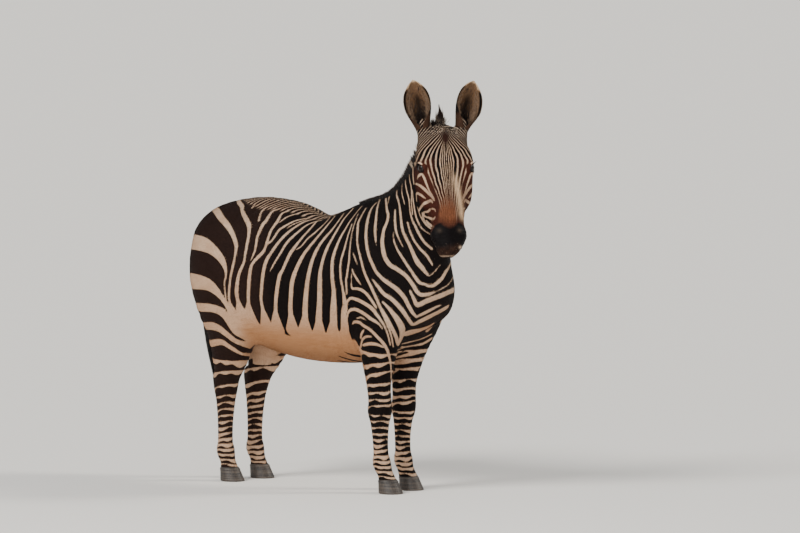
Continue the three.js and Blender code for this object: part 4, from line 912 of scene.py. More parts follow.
def make_lines(tree):
    """Every pale stripe on both sides of the body, as a tree of places with their half-widths."""
    places, widths, in_face = [], [], []
    for is_face, table in ((False, STRIPES), (True, FACE_STRIPES)):
        for name, text in table.items():
            line, width = stripe_points(text, tree)
            if not len(line):
                continue
            if name in WRAPS:
                more, more_width = wrapped(line[0], width[0], *WRAPS[name])
                line, width = np.concatenate([line, more]), np.concatenate([width, more_width])
            places.append(line)
            widths.append(width)
            in_face.append(is_face)
    drawn = places_tree(places)
    for line, width, is_face in list(zip(places, widths, in_face)):
        right = to_head(line)[:, 1] < 10 if is_face else line[:, 1] < 60
        other = mirrored(line[right], is_face)
        across, down = to_picture(other).T
        # at the chest a mirrored line is left out where a drawn one is near or the picture shows the place
        chest = (other[:, 0] > 400) & (across > 404) & (down > 240) & (not is_face)
        taken = chest & ((distances(other, drawn) < 20) | (seen(other, tree) & (across < 460)))
        places.append(other[~taken])
        widths.append(width[right][~taken])
    for line, width in list(neck_rings(tree, places_tree(places))):
        places.append(line)
        widths.append(width)
    return places_tree(places), np.concatenate(widths)


def line_value(points):
    """Millimetres inside the nearest pale stripe, less than nothing outside."""
    tree, widths = lines
    out = [max(widths[k] - d for _, k, d in tree.find_n(p, 5)) for p in points.tolist()]
    return np.maximum(np.array(out), -FAR)


def ring_value(points, name):
    """The same for the rings of one leg, and how far the point lies towards the leg's inner side."""
    x, y, z = points.T
    x0, y0, side, depth = profile(LEGS[name], z, 0, 1, 3, 4)
    f = np.clip((x - x0) / depth, -1, 1) * 0.5 + 0.5
    value = np.full(len(points), -FAR)
    wave = 3.0 * np.sin(y / 13 + z / 40) + 2.0 * np.sin(x / 9 - z / 21)
    for back, front, width in FRONT_RINGS if name.startswith("front") else HIND_RINGS:
        middle = mix(back, front, 1 - (1 - f) ** 1.6)
        value = np.maximum(value, width + 0.12 * wave * width - np.abs(z + wave - middle))
    return value, -np.sign(y0) * (y - y0) / side


def mark_legs(points, value):
    """Lays the legs' rings and their pale inner sides over the coat's value."""
    x, y, z = points.T
    for name, rows in LEGS.items():
        front = name.startswith("front")
        x0, y0 = profile(rows, z, 0, 1)
        near = np.nonzero((z < (690 if front else 625)) & (np.hypot(x - x0, y - y0) < 190) & (y * y0 > 0))[0]
        rings, inner = ring_value(points[near], name)
        fore = (x[near] - x0[near]) / 60
        pale = 16 * (inner - 0.25) - smoothstep(560, 470, z[near]) * 30
        pale = pale - front * 26 * smoothstep(-0.9, -0.3, fore)
        value[near] = np.maximum(value[near], np.maximum(rings, np.minimum(pale, 20)))


def mark_belly(points, value):
    """The pale belly, the strip between the legs and the dark lines along the belly and the spine."""
    x, y, z = points.T
    ends = np.interp(x, [-260, -100, 60, 180, 270], [725, 695, 678, 658, 628]) + 9 * np.sin(x / 23)
    along = np.minimum(x + 250 + 0.6 * (z - 600), 300 + 16 * smoothstep(750, 690, z) - x)
    value = value + 25 * np.clip((ends + 80 - z) / 80, 0, 1.4) * smoothstep(-30, 20, along)
    value = np.maximum(value, np.minimum(ends - 14 - z, along))
    between = np.minimum(np.minimum(86 - np.abs(y), 800 - z), np.minimum(x + 420, 330 - x))
    value = np.maximum(value, np.where(z > 500, between, -FAR))
    bars = 118 * np.maximum(np.sin(x / 17 + np.abs(y) / 9 + 1.3 * np.sin(x / 31)), 0) ** 0.7
    reach = 9 + bars * smoothstep(60, 200, x) * smoothstep(350, 300, x)
    under = np.where((x > -120) & (x < 420) & (z < 660), (np.abs(y) - reach) * 0.4, FAR)
    spine = np.where((x < 400) & (z > 1050), np.abs(y) - 9, FAR)
    return np.minimum(value, np.minimum(under, spine))


def mark_jaw(points, h, value):
    """Lines across the jaw behind the cheeks, where the picture shows neither side."""
    behind = within(h, (70, 420), 170, (-math.inf, -40)) & (np.abs(h[:, 1]) > 12) & (head_share(points) > 0.4)
    jaw = np.nonzero(behind)[0]
    jaw = jaw[~seen(from_head(as_left(h[jaw]) * [1, -1, 1]), flesh_tree)]
    x, back = h[jaw, 0], -30 - h[jaw, 2]
    ahead = x + 0.3 * back + 4 * np.sin(back / 13 + x / 60)
    for start, half, reach in JAW_LINES:
        taper = np.interp(back, [0, 0.9 * reach, 1.5 * reach], [1, 0.8, -0.6])
        off = np.abs(ahead - start - 0.12 * back * np.sin(start))
        value[jaw] = np.maximum(value[jaw], half * taper - off)


def forehead_lines(points, h):
    """The phase of the fine lines that run down the forehead and arch over the poll, and their share."""
    x, aside = h[:, 0], np.abs(h[:, 1])
    edge = np.interp(x, [-60, 20, 75, 135, 172, 200, 250, 320, 380], [90, 130, 135, 122, 82, 84, 64, 45, 36])
    brow = smoothstep(3, -3, aside - edge) * (x > -70) * (x < 440) * (aside < 150) * (points[:, 2] > 1150)
    brow = brow * smoothstep(-70, -50, h[:, 2] - 0.25 * np.minimum(x - 75, 0))
    rows = np.array(FOREHEAD, float)
    reach = [np.interp(x, rows[:, 0], rows[:, k]) for k in range(1, 8)]
    order = 3 * aside / reach[0]
    for k, (inner, outer) in enumerate(zip(reach, reach[1:])):
        order = np.where(aside > inner, 3 + k + (aside - inner) / (outer - inner), order)
    order = np.where(aside > reach[-1], 9 + (aside - reach[-1]) / FOREHEAD_SPACING, order)
    return order + 0.05 * np.sin(x / 11 + h[:, 1] / 9), brow


def markings(points):
    """The coat at points: value (mm, pale above 0), and the phase of fine lines with their share."""
    x, y, z = points.T
    h = to_head(points)
    value = line_value(points)
    mark_legs(points, value)
    value = mark_belly(points, value)
    mark_jaw(points, h, value)
    # fine bars across the croup
    half = np.interp(x, [-430, -400, -340, -250, -150, 0, 120, 220], [-20, 36, 84, 116, 104, 76, 52, -20])
    croup = smoothstep(10, -16, np.abs(y) - half) * (z > 1000) * (np.abs(x) < 430)
    wander = 6 * np.sin(np.abs(y) / 19 + x / 41)
    phase = np.where(croup > 0, (x + 0.52 * np.abs(y) + wander) / CROUP_BARS, 0)
    order, brow = forehead_lines(points, h)
    phase = np.where(brow > 0, order, phase)
    share = np.maximum(1.3 * croup, brow * (1.1 + 0.2 * smoothstep(125, 60, h[:, 0])))
    return value, phase, share


# ------------------------------------------------------------------ colours and materials
def srgb(r, g, b):
    c = np.array([r, g, b]) / 255
    return np.where(c < 0.04045, c / 12.92, ((c + 0.055) / 1.055) ** 2.4)


# the third is the cream of the ears' tips, and on the face it is painted sunlight
CREAM, BUFF, PAINTED_SUN_AND_TIP_CREAM = srgb(206, 178, 152), srgb(182, 132, 92), srgb(232, 204, 168)
BLACK, BROWN_BLACK, CHEEK = srgb(13, 9, 9), srgb(30, 20, 17), srgb(54, 27, 20)
# the last is the pale hair beside the mouth, also laid on the lip and the nostrils as painted highlights
NASAL, NOSE, CHIN, PALE_HAIR_AND_HIGHLIGHT = srgb(100, 63, 44), srgb(8, 6, 7), srgb(44, 29, 22), srgb(168, 150, 132)
EAR_BROWN, EAR_DARK, EAR_BACK = srgb(116, 90, 68), srgb(28, 20, 15), srgb(58, 42, 33)
POLL = srgb(176, 158, 142)


def blend(base, colour, share):
    return mix(base, colour, np.clip(share, 0, 1)[:, None])


def body_tones(x, y, z):
    """Layers of colour over the trunk: the colour, its share of the pale coat and of the dark one."""
    trunk = smoothstep(470, 380, x)
    under = smoothstep(790, 650, z) * smoothstep(470, 560, z)
    breast = hill((z, 770, 90), (x, 540, 110), (y, 0, 90))
    return [
        (BUFF, (0.25 + 0.7 * smoothstep(330, 270, np.abs(x - 20))) * under, None),
        # painted shade under the belly: the pale coat darkened towards half the buff below 640 mm
        (0.5 * BUFF, 0.5 * smoothstep(640, 575, z) * (np.abs(x - 20) < 330) * (z > 480), None),
        (BUFF, 0.28 * trunk * smoothstep(1180, 800, z), None),
        (BROWN_BLACK, None, trunk * smoothstep(-60, -220, x)),
        (BUFF, 0.8 * breast, None),
        (BROWN_BLACK, None, breast),
    ]


def face_tones(h, height):
    """The same for the face, at head points h that lie so high over the floor."""
    x, across, z = h.T
    y = np.abs(across)
    head = within(h, (40, 620), 170, (-180, 170))
    cheek = smoothstep(120, 160, x) * smoothstep(440, 400, x)
    cheek = head * cheek * smoothstep(-92, -58, z) * smoothstep(44, 70, y)
    front = head * smoothstep(-20, 0, z) * smoothstep(220, 330, x)
    side = np.interp(x, [280, 340, 430], [4, 30, 40])
    nasal = head * smoothstep(8, -8, np.abs(across + 8) - side) * smoothstep(300, 380, x) * (z > -30)
    # painted sunlight: a pale strip down the left side of the face and nose, where the sun falls, lightens
    # both coats
    strip = head * (across > 0) * hill((across, mix(34, 56, smoothstep(200, 420, x)), 13))
    strip = strip * smoothstep(190, 260, x) * smoothstep(440, 400, x) * (z > -30)
    poll = (x > -90) * (x < 100) * (y < 160) * (height > 1400) * smoothstep(70, 30, x) * (z > -90)
    whorl = (x > 0) * (x < 200) * (height > 1200) * hill((x, 46, 30), (y, 0, 16)) * (z > 0)
    # the bare nose and lips
    line = np.interp(y, [0, 20, 42, 60, 76, 95], [452, 447, 430, 438, 462, 470])
    line = line + 26 * smoothstep(-10, -50, z)
    nose = head * smoothstep(-1, 1, (x - line) / np.interp(y, [10, 40], [16, 7]))
    dusk = 0.8 * head * smoothstep(-46, 2, x - line) * (z > -20)
    low = x - 0.41 * z  # how far down the muzzle a place looks from in front
    aside = np.abs(across + 9)
    chin = smoothstep(506, 548, low + 0.25 * across) * (0.7 + 0.3 * np.sin(across / 7) * np.sin(low / 6))
    chin = head * chin * smoothstep(58, 47, aside) * (x > 440)
    # painted highlight: a thin pale line along the edge of the upper lip; the second term, a pale patch to
    # the left of the mouth, is pale hair
    lip = 0.6 * head * hill((low, 571, 2.6)) * smoothstep(46, 38, aside) * (x > 500)
    lip = lip + 0.8 * head * hill((low, 531, 7), (across, 46, 7)) * (x > 440)
    under_lip = head * smoothstep(574, 584, low) * (x > 470)
    # painted highlight on the tops of the nostril wings
    gleam = 0.4 * (0.15 * head * hill((low, 452, 10), (y, 44, 10)) * (x > 420))
    # the dark rim of the lids and the pale line over them
    eye = from_eye(h, 4)
    rim = head * smoothstep(1.5, 1.25, np.minimum(lid_ratio(h), lid_ratio(h, -14))) * (eye < 48)
    brow = head * lid_line(h) * (eye < 50)
    return [
        (CHEEK, None, cheek),
        (CHEEK, None, 0.85 * front),
        (NASAL, 0.45 * front, None),
        (NASAL, nasal, nasal),
        # painted sunlight on the face's left side
        (PAINTED_SUN_AND_TIP_CREAM, 0.75 * strip, 0.5 * strip),
        (POLL, 0.6 * poll, None),
        (CHEEK, np.minimum(1.3 * whorl, 0.94), 0.4 * whorl),
        (CHEEK, dusk, dusk),
        (NOSE, nose, nose),
        (CHIN, chin, chin),
        (PALE_HAIR_AND_HIGHLIGHT, lip, lip),
        (NOSE, under_lip, under_lip),
        (PALE_HAIR_AND_HIGHLIGHT, gleam, gleam),
        (NOSE, rim, rim),
        (CREAM, brow, 0.9 * brow),
    ]


def colours(points):
    """The pale and the dark colour of the coat at points, linear."""
    pale, dark = np.tile(CREAM, (len(points), 1)), np.tile(BLACK, (len(points), 1))
    for colour, over_pale, over_dark in body_tones(*points.T) + face_tones(to_head(points), points[:, 2]):
        if over_pale is not None:
            pale = blend(pale, colour, over_pale)
        if over_dark is not None:
            dark = blend(dark, colour, over_dark)
    return pale, dark


def ear_coat(where):
    """Value and colours of an ear from its height, its place across and its side (0 the back, 1 the cup)."""
    v, c, inner = where.T
    c, cup = np.abs(c), inner > 0.5
    value = np.where(cup | (v >= 0.82), 8.0, -8.0)
    dark = blend(np.tile(BLACK, (len(v), 1)), EAR_BACK, smoothstep(0.3, 0.2, v))
    edge = 0.22 * smoothstep(0.55, 0.8, c) * smoothstep(0.9, 0.6, v)
    pale = np.where(cup[:, None], mix(EAR_BROWN, CREAM, edge[:, None]), CREAM)
    streak = hill((c, 0, 0.24)) * smoothstep(0.08, 0.3, v) * smoothstep(0.86, 0.6, v)
    rim = smoothstep(0.74, 0.8, c) * smoothstep(0.12, 0.22, v) * smoothstep(0.85, 0.8, v)
    tip = np.maximum(smoothstep(0.7, 0.82, c) * smoothstep(0.84, 0.88, v), smoothstep(0.95, 0.98, v))
    pale = blend(pale, EAR_DARK, cup * np.clip(0.95 * streak + 0.35 * smoothstep(0.5, 0.2, v), 0, 1))
    pale = blend(blend(pale, BLACK, cup * rim), PAINTED_SUN_AND_TIP_CREAM, cup * tip)
    return value, pale, dark


def grain(points):
    """Coordinates whose first axis runs along the hair, in mm."""
    x, y, z = points.T
    h = to_head(points)
    leg = smoothstep(760, 600, z)[:, None]
    head = (smoothstep(20, 60, h[:, 0]) * (np.abs(h[:, 1]) < 180) * (h[:, 2] > -190) * (z > 1100))[:, None]
    out = np.stack([x - 0.4 * z, y, z + 0.4 * x], -1)
    out = mix(out, np.stack([z, x, y], -1), leg)
    return mix(out, h, head)


def rgba(colour):
    return (*colour, 1)


class Nodes:
    """Short words for building a material's nodes."""

    def __init__(self, name):
        self.material = bpy.data.materials.new(name)
        self.material.use_nodes = True
        self.tree = self.material.node_tree
        self.shader = self.tree.nodes["Principled BSDF"]

    def add(self, kind, inputs=(), **settings):
        node = self.tree.nodes.new(kind)
        for key, value in settings.items():
            setattr(node, key, value)
        for key, value in dict(inputs).items():
            self.feed(node.inputs[key], value)
        return node

    def feed(self, socket, value):
        if isinstance(value, bpy.types.NodeSocket):
            self.tree.links.new(value, socket)
        else:
            socket.default_value = value

    def attribute(self, name, output="Fac"):
        return self.add("ShaderNodeAttribute", attribute_name=name).outputs[output]

    def math(self, operation, a, b=0.0):
        return self.add("ShaderNodeMath", {0: a, 1: b}, operation=operation).outputs[0]

    def plus(self, a, b):
        return self.math("ADD", a, b)

    def minus(self, a, b):
        return self.math("SUBTRACT", a, b)

    def times(self, a, b):
        return self.math("MULTIPLY", a, b)

    def step(self, value, low, high):
        """0 below low, 1 above high."""
        return self.add("ShaderNodeMapRange", {"Value": value, "From Min": low, "From Max": high}).outputs[0]

    def mix(self, share, a, b, kind="MIX"):
        node = self.add("ShaderNodeMix", {0: share, 6: a, 7: b}, data_type="RGBA", blend_type=kind)
        return node.outputs[2]

    def tint(self, share, colour, by):
        return self.mix(share, colour, rgba(by), "MULTIPLY")

    def noise(self, vector, scale, detail=3.0, roughness=0.5):
        inputs = {"Vector": vector, "Scale": scale, "Detail": detail, "Roughness": roughness}
        return self.add("ShaderNodeTexNoise", inputs).outputs[0]

    def stretch(self, vector, scales):
        return self.add("ShaderNodeVectorMath", {0: vector, 1: scales}, operation="MULTIPLY").outputs[0]

    def place(self):
        return self.add("ShaderNodeTexCoord").outputs["Object"]

    def bump(self, height, distance, strength):
        inputs = {"Height": height, "Distance": distance, "Strength": strength}
        return self.add("ShaderNodeBump", inputs).outputs[0]

    def finish(self, colour, roughness, specular=None, normal=None):
        """The material, with these on its shader's own sockets."""
        names = ("Base Color", "Roughness", "Specular IOR Level", "Normal")
        for name, value in zip(names, (colour, roughness, specular, normal)):
            if value is not None:
                self.feed(self.shader.inputs[name], value)
        return self.material


def striped(n, vector):
    """The coat's colour, pale stripes on dark with edges broken up by single hairs, and its noises."""
    hairs = n.noise(n.stretch(vector, (0.09, 1, 1)), 0.9, 2.0)
    broad = n.step(n.plus(n.attribute("value"), n.times(n.minus(hairs, 0.5), 7.0)), -0.8, 0.8)
    share = n.attribute("share")
    wave = n.math("COSINE", n.times(n.attribute("phase"), 2 * math.pi))
    wave = n.plus(wave, n.times(n.minus(hairs, 0.5), 1.4))
    wave = n.minus(wave, n.math("MAXIMUM", n.minus(share, 1.0), 0.0))
    black, white = (0, 0, 0, 1), (1, 1, 1, 1)
    pale = n.mix(share, n.mix(broad, black, white), n.mix(n.step(wave, 0.1, 0.7), black, white))
    streaks = n.noise(n.stretch(vector, (0.05, 0.6, 0.6)), 1.0, 3.0, 0.6)
    worn = n.times(n.step(n.noise(vector, 0.02), 0.42, 0.7), 0.3)
    light = n.tint(worn, n.attribute("light", "Color"), (0.66, 0.5, 0.36))
    light = n.tint(n.times(n.step(streaks, 0.38, 0.75), 0.5), light, (0.6, 0.48, 0.4))
    dark = n.tint(n.step(streaks, 0.4, 0.7), n.attribute("dark", "Color"), (2.1, 1.8, 1.6))
    return n.mix(pale, dark, light), hairs, streaks


def skin_material():
    n = Nodes("skin")
    vector = n.attribute("grain", "Vector")
    tone, hairs, streaks = striped(n, vector)
    bare = n.attribute("bare")
    pores = n.add("ShaderNodeTexVoronoi", {"Vector": vector, "Scale": 0.55}).outputs[0]
    height = n.mix(bare, n.plus(hairs, n.times(streaks, 0.7)), n.times(pores, 0.8))
    return n.finish(tone, n.minus(0.62, n.times(bare, 0.24)), 0.06, n.bump(height, 0.0012, 0.55))


def coat_material():
    n = Nodes("coat")
    tip = n.attribute("along")
    # painted shade and light: each tuft darkened towards its root, where it lies under the others, and
    # lightened at its tip
    low = n.tint(n.minus(1.0, tip), striped(n, n.attribute("grain", "Vector"))[0], (0.6, 0.55, 0.5))
    return n.finish(n.tint(tip, low, (1.12, 1.1, 1.08)), 0.65, 0.06)


def hair_material(name, light, dark, end):
    """Long hair: pale and dark locks by their value, streaked, with tips of another colour."""
    n = Nodes(name)
    streaks = n.noise(n.place(), 260.0)
    pale = n.step(n.plus(n.attribute("value"), n.times(n.minus(streaks, 0.5), 8.0)), -1.5, 1.5)
    light = n.mix(n.step(streaks, 0.3, 0.7), rgba(light), rgba(0.55 * light))
    dark = n.mix(n.step(streaks, 0.35, 0.75), rgba(dark), rgba(2.4 * dark))
    far = n.times(n.step(n.attribute("along"), 0.6, 1.0), n.attribute("tip"))
    return n.finish(n.mix(far, n.mix(pale, dark, light), rgba(end)), 0.55, 0.25)


def horn_material():
    n = Nodes("horn")
    spot = n.place()
    rings = n.noise(n.stretch(spot, (6, 6, 160)), 1.0)
    fibres = n.noise(n.stretch(spot, (240, 240, 14)), 1.0)
    tone = n.mix(n.step(rings, 0.35, 0.7), rgba(srgb(30, 26, 25)), rgba(srgb(74, 64, 56)))
    tone = n.mix(n.times(n.step(fibres, 0.45, 0.75), 0.4), tone, rgba(srgb(104, 92, 80)))
    bump = n.bump(n.plus(rings, fibres), 0.0008, 0.5)
    return n.finish(tone, n.plus(0.42, n.times(fibres, 0.2)), normal=bump)


def eye_material():
    n = Nodes("eye")
    angle = n.attribute("angle")
    wide, tall = n.math("DIVIDE", n.attribute("level"), 0.33), n.math("DIVIDE", n.attribute("high"), 0.17)
    oval = n.math("SQRT", n.plus(n.times(wide, wide), n.times(tall, tall)))
    around = n.add("ShaderNodeTexNoise", {"Scale": 900.0, "Detail": 3.0}).outputs[0]
    iris = n.mix(around, rgba(srgb(20, 11, 7)), rgba(srgb(44, 24, 13)))
    iris = n.mix(n.step(angle, 0.5, 0.78), iris, rgba(srgb(12, 8, 6)))
    tone = n.mix(n.step(oval, 0.9, 1.05), (0.001, 0.001, 0.0015, 1), iris)
    return n.finish(n.mix(n.step(angle, 0.9, 1.05), tone, rgba(srgb(48, 32, 26))), 0.06, 0.22)


# ------------------------------------------------------------------ ears, dock, eyes and hooves
def loft(rings):
    """Vertices and quads of a surface through closed rings (stations, around, 3)."""
    stations, count = rings.shape[:2]
    i = np.arange(stations * count).reshape(stations, count)
    j = np.roll(i, -1, 1)
    return rings.reshape(-1, 3), np.stack([i[:-1], j[:-1], j[1:], i[1:]], -1).reshape(-1, 4)


def around(count):
    return np.linspace(0, 2 * math.pi, count, endpoint=False)[None, :]


def ear_frame(s):
    """The root of an ear and its axes: the cup's face, across, and up to the tip."""
    point = from_head([EAR["along"] - EAR["stump"], s * (EAR["side"] + 8), 0])
    up = unit(np.array([-1, s * EAR["lean"][s], 0.14]) @ HEAD_AXES)
    face = np.array([0.1, s * 0.3, 1]) @ HEAD_AXES
    face = unit(face - up * (face @ up))
    return point - 3 * up, np.array([face, np.cross(up, face), up])


def ear_shell(s):
    """An ear rolled into a cup, its two skins joined round the rim; also each place up, across and inside."""
    up_count, across_count = 46, 26
    rows = np.array([row_at(EAR_ROWS, t) for t in np.linspace(0.15, len(EAR_ROWS) - 1, up_count)])
    c = np.linspace(-1, 1, across_count)
    c = np.concatenate([c, c[::-1]])
    inner = np.concatenate([np.zeros(across_count), np.ones(across_count)])
    v, wide, angle, spine = (rows[:, k][:, None] for k in range(4))
    wide, v = np.maximum(wide, 1.5), np.clip(v, 0, 1)
    radius = wide / np.sin(np.minimum(angle, math.pi / 2))
    inset = (inner - 0.5) * (EAR["wall"] * mix(1.2, 0.5, v) - 1.6)
    phi = (angle - inset / radius) * c
    r = radius - inset
    rings = np.stack([spine + radius - r * np.cos(phi), r * np.sin(phi), v * EAR["length"] + 0 * phi], -1)
    points, quads = loft(rings)
    origin, axes = ear_frame(s)
    where = np.stack([v + 0 * phi, c + 0 * phi, inner + 0 * phi], -1).reshape(-1, 3)
    k = np.arange(across_count - 1)
    rim = np.stack([k, across_count * 2 - 1 - k, across_count * 2 - 2 - k, k + 1], 1)
    return origin + points @ axes, np.concatenate([quads, rim + (up_count - 1) * 2 * across_count]), where


def tail_line(z):
    """The middle of the hanging tail at a height."""
    return np.stack([*profile(TAIL, z, 0, 1), z], -1)


def tail_dock():
    rows = np.array([row_at(TAIL, t) for t in np.linspace(1.6, 7.5, 90)])
    along = np.gradient(rows[:, :3], axis=0)
    side = unit(np.cross(along, [1.0, 0, 0.35]))
    fore = unit(np.cross(side, along))
    a = around(20)[..., None]
    r = (rows[:, 3] - 2)[:, None, None]
    return loft(r * (np.cos(a) * fore[:, None] + np.sin(a) * side[:, None]) + rows[:, None, :3])


def smooth_mesh(name, points, quads):
    """A loft as a smooth mesh in the row frame, its faces turned outwards."""
    mesh = mesh_from(name, place(points), quads[:, ::-1])
    mesh.shade_smooth()
    return mesh


def hoof(name, rows):
    """A horny box with growth rings, its toe sloping forward and its heel drawn in."""
    x, y = rows[-1][:2]
    top, rings = HOOF["top"], 30
    heights = np.concatenate([[0, 0, 1.5], np.linspace(4, top + 5, rings)])
    inward = np.concatenate([[40, 3, 0.8], np.zeros(rings)])
    t = np.clip(heights / top, 0, 1)
    radius = mix(HOOF["sole"], HOOF["coronet"], t) - inward - 4 * smoothstep(0.97, 1.1, heights / top)
    growth = 0.55 * np.sin(heights * 0.9) * smoothstep(3, 8, heights) + 1.2 * hill((heights - top, -3, 3))
    a = around(56)
    r = (radius + growth)[:, None] * (1 - 0.1 * hill((a, math.pi, 0.35)))
    shift = (HOOF["toe"] * 0.55 * (1 - t))[:, None]
    box = [x + shift + np.cos(a) * r * 1.08, y + np.sin(a) * r * 0.96, heights[:, None] + 0 * a]
    return smooth_mesh("hoof_" + name, *loft(np.stack(box, -1)))


def eyeball(name, s):
    """A ball with its pole on the line of sight; each vertex knows its angle from it, level and high."""
    polar, a = np.linspace(0, math.pi, 40)[:, None], around(56)
    sight = unit(np.array([0.16, s * 0.95, 0.22]) @ HEAD_AXES)
    level = unit(HEAD_AXES[0] - sight * (HEAD_AXES[0] @ sight))
    high = np.cross(sight, level)
    rings = (EYE["radius"] - 0.4) * (
        np.cos(polar)[..., None] * sight
        + np.sin(polar)[..., None] * (np.cos(a)[..., None] * level + np.sin(a)[..., None] * high)
    )
    mesh = smooth_mesh(name, *loft(rings + from_head([EYE["along"], s * EYE["side"], EYE["out"]])))
    put(mesh, "angle", (polar + 0 * a).ravel())
    put(mesh, "level", (np.sin(polar) * np.cos(a)).ravel())
    put(mesh, "high", (np.sin(polar) * np.sin(a)).ravel())
    return mesh


def put(mesh, name, values):
    """Gives each vertex a number, or the grain's coordinates or a colour where values have three columns."""
    values = np.asarray(values, np.float32)
    kind, key = ("FLOAT", "value") if values.ndim == 1 else ("FLOAT_COLOR", "color")
    if name == "grain":
        kind, key = "FLOAT_VECTOR", "vector"
    elif values.ndim > 1:
        values = np.column_stack([values, np.ones(len(values), np.float32)])
    mesh.attributes.new(name, kind, "POINT").data.foreach_set(key, values.ravel())


# ------------------------------------------------------------------ locks of hair as solid mesh
def along_lock(stations):
    """Places along each lock, 0 at the root and 1 at the tip, for arrays (locks, stations, 3)."""
    return np.linspace(0, 1, stations)[None, :, None]


def lock_mesh(name, lines, wide, width, flat):
    """One mesh of three-sided locks along lines (locks, stations, 3) in mm, each drawn out to a point."""
    count, stations = lines.shape[:2]
    wide, width = np.broadcast_to(wide, (count, 3)), np.broadcast_to(width, count)
    shape = 1 - np.linspace(0, 1, stations) ** 2.2
    step = np.gradient(lines, axis=1)
    across = wide[:, None, :] - step * ((wide[:, None, :] * step).sum(2) / (step * step).sum(2))[:, :, None]
    across = unit(across)
    rise = unit(np.cross(across, step)) * ((width * flat)[:, None] * shape)[:, :, None]
    half = across * ((width[:, None] * shape)[:, :, None] / 2)
    rings = np.stack([lines + half, lines - half, lines + rise], 2)[:, :-1]
    points = np.concatenate([rings.reshape(count, -1, 3), lines[:, -1:]], 1)
    faces = [(0, 1, 2)]
    for k in range(stations - 2):
        for i in range(3):
            a, b = 3 * k + i, 3 * k + (i + 1) % 3
            faces += [(a, a + 3, b + 3), (a, b + 3, b)]
    last, tip = 3 * (stations - 2), 3 * (stations - 1)
    faces += [(last, tip, last + 1), (last + 1, tip, last + 2), (last + 2, tip, last)]
    per = points.shape[1]
    every = (np.array(faces)[:, ::-1] + per * np.arange(count)[:, None, None]).reshape(-1, 3)
    return mesh_from(name, place(points.reshape(-1, 3)), every), per


def hair_piece(name, lines, wide, width, flat, value, tip, places, stuff):
    """A piece of long hair, with the value and the share of tip colour of each lock."""
    mesh, per = lock_mesh(name, lines, wide, width, flat)
    count, stations = lines.shape[:2]
    put(mesh, "value", np.repeat(np.broadcast_to(value, count), per))
    put(mesh, "tip", np.repeat(np.broadcast_to(tip, count), per))
    put(mesh, "along", np.tile(np.append(np.repeat(np.linspace(0, 1, stations)[:-1], 3), 1), count))
    add_bake_map(mesh, per, places)
    piece(name, mesh, stuff)


# ------------------------------------------------------------------ mane, forelock and tail
MANE = dict(stations=46, short=14, long=102, front=96, width=22, band=66)
FORELOCK = 0.925  # its place on the crest
STANDING = unit(np.array([-1, 0, 0.22]) @ HEAD_AXES)


def skin_along(start, out):
    """Where rays from places inside the body come out of it, found by halving a reach of 400 mm."""
    low, high = np.zeros(len(start)), np.full(len(start), 400.0)
    for _ in range(22):
        middle = (low + high) / 2
        inside = body_field(start + out * middle[:, None]) < 0
        low, high = np.where(inside, middle, low), np.where(inside, high, middle)
    return start + out * low[:, None]


def make_crest():
    """The crest from the withers over the poll to the forelock: root, way along, way of growth, length."""
    start, out, length = [], [], []
    for t in np.linspace(0, 1, MANE["stations"]):
        if t < 0.78:
            row = mix(0.5, 4.7, t / 0.78)
            along = row_at(NECK, min(row + 0.05, 5))[:3] - row_at(NECK, row - 0.05)[:3]
            o = -neck_front(row / 5)
            out.append(unit(o - along * (o @ along) / (along @ along)))
            start.append(row_at(NECK, row)[:3])
        else:
            turn = mix(0.55, 1.95, (t - 0.78) / 0.22)
            out.append(np.array([-math.sin(turn), 0, -math.cos(turn)]) @ HEAD_AXES)
            start.append(from_head([26, 0, -34]))
        grown = mix(MANE["short"], MANE["long"], min(1, t / 0.8))
        length.append(grown + (MANE["front"] - MANE["long"]) * np.clip((t - 0.8) * 8, 0, 1))
    out = np.array(out)
    root = skin_along(np.array(start), out)
    along = unit(np.gradient(root, axis=0))
    up = np.clip((np.linspace(0, 1, len(root)) - 0.62) / 0.2, 0, 1)[:, None]
    return root, along, unit(mix(unit(out + 0.25 * along), STANDING, up)), np.array(length)


def at(table, t):
    """Rows of a table of the crest at places t from 0 to 1."""
    x = t * (len(table) - 1)
    i = np.minimum(x.astype(int), len(table) - 2)
    f = (x - i)[:, None] if table.ndim > 1 else x - i
    return mix(table[i], table[i + 1], f)


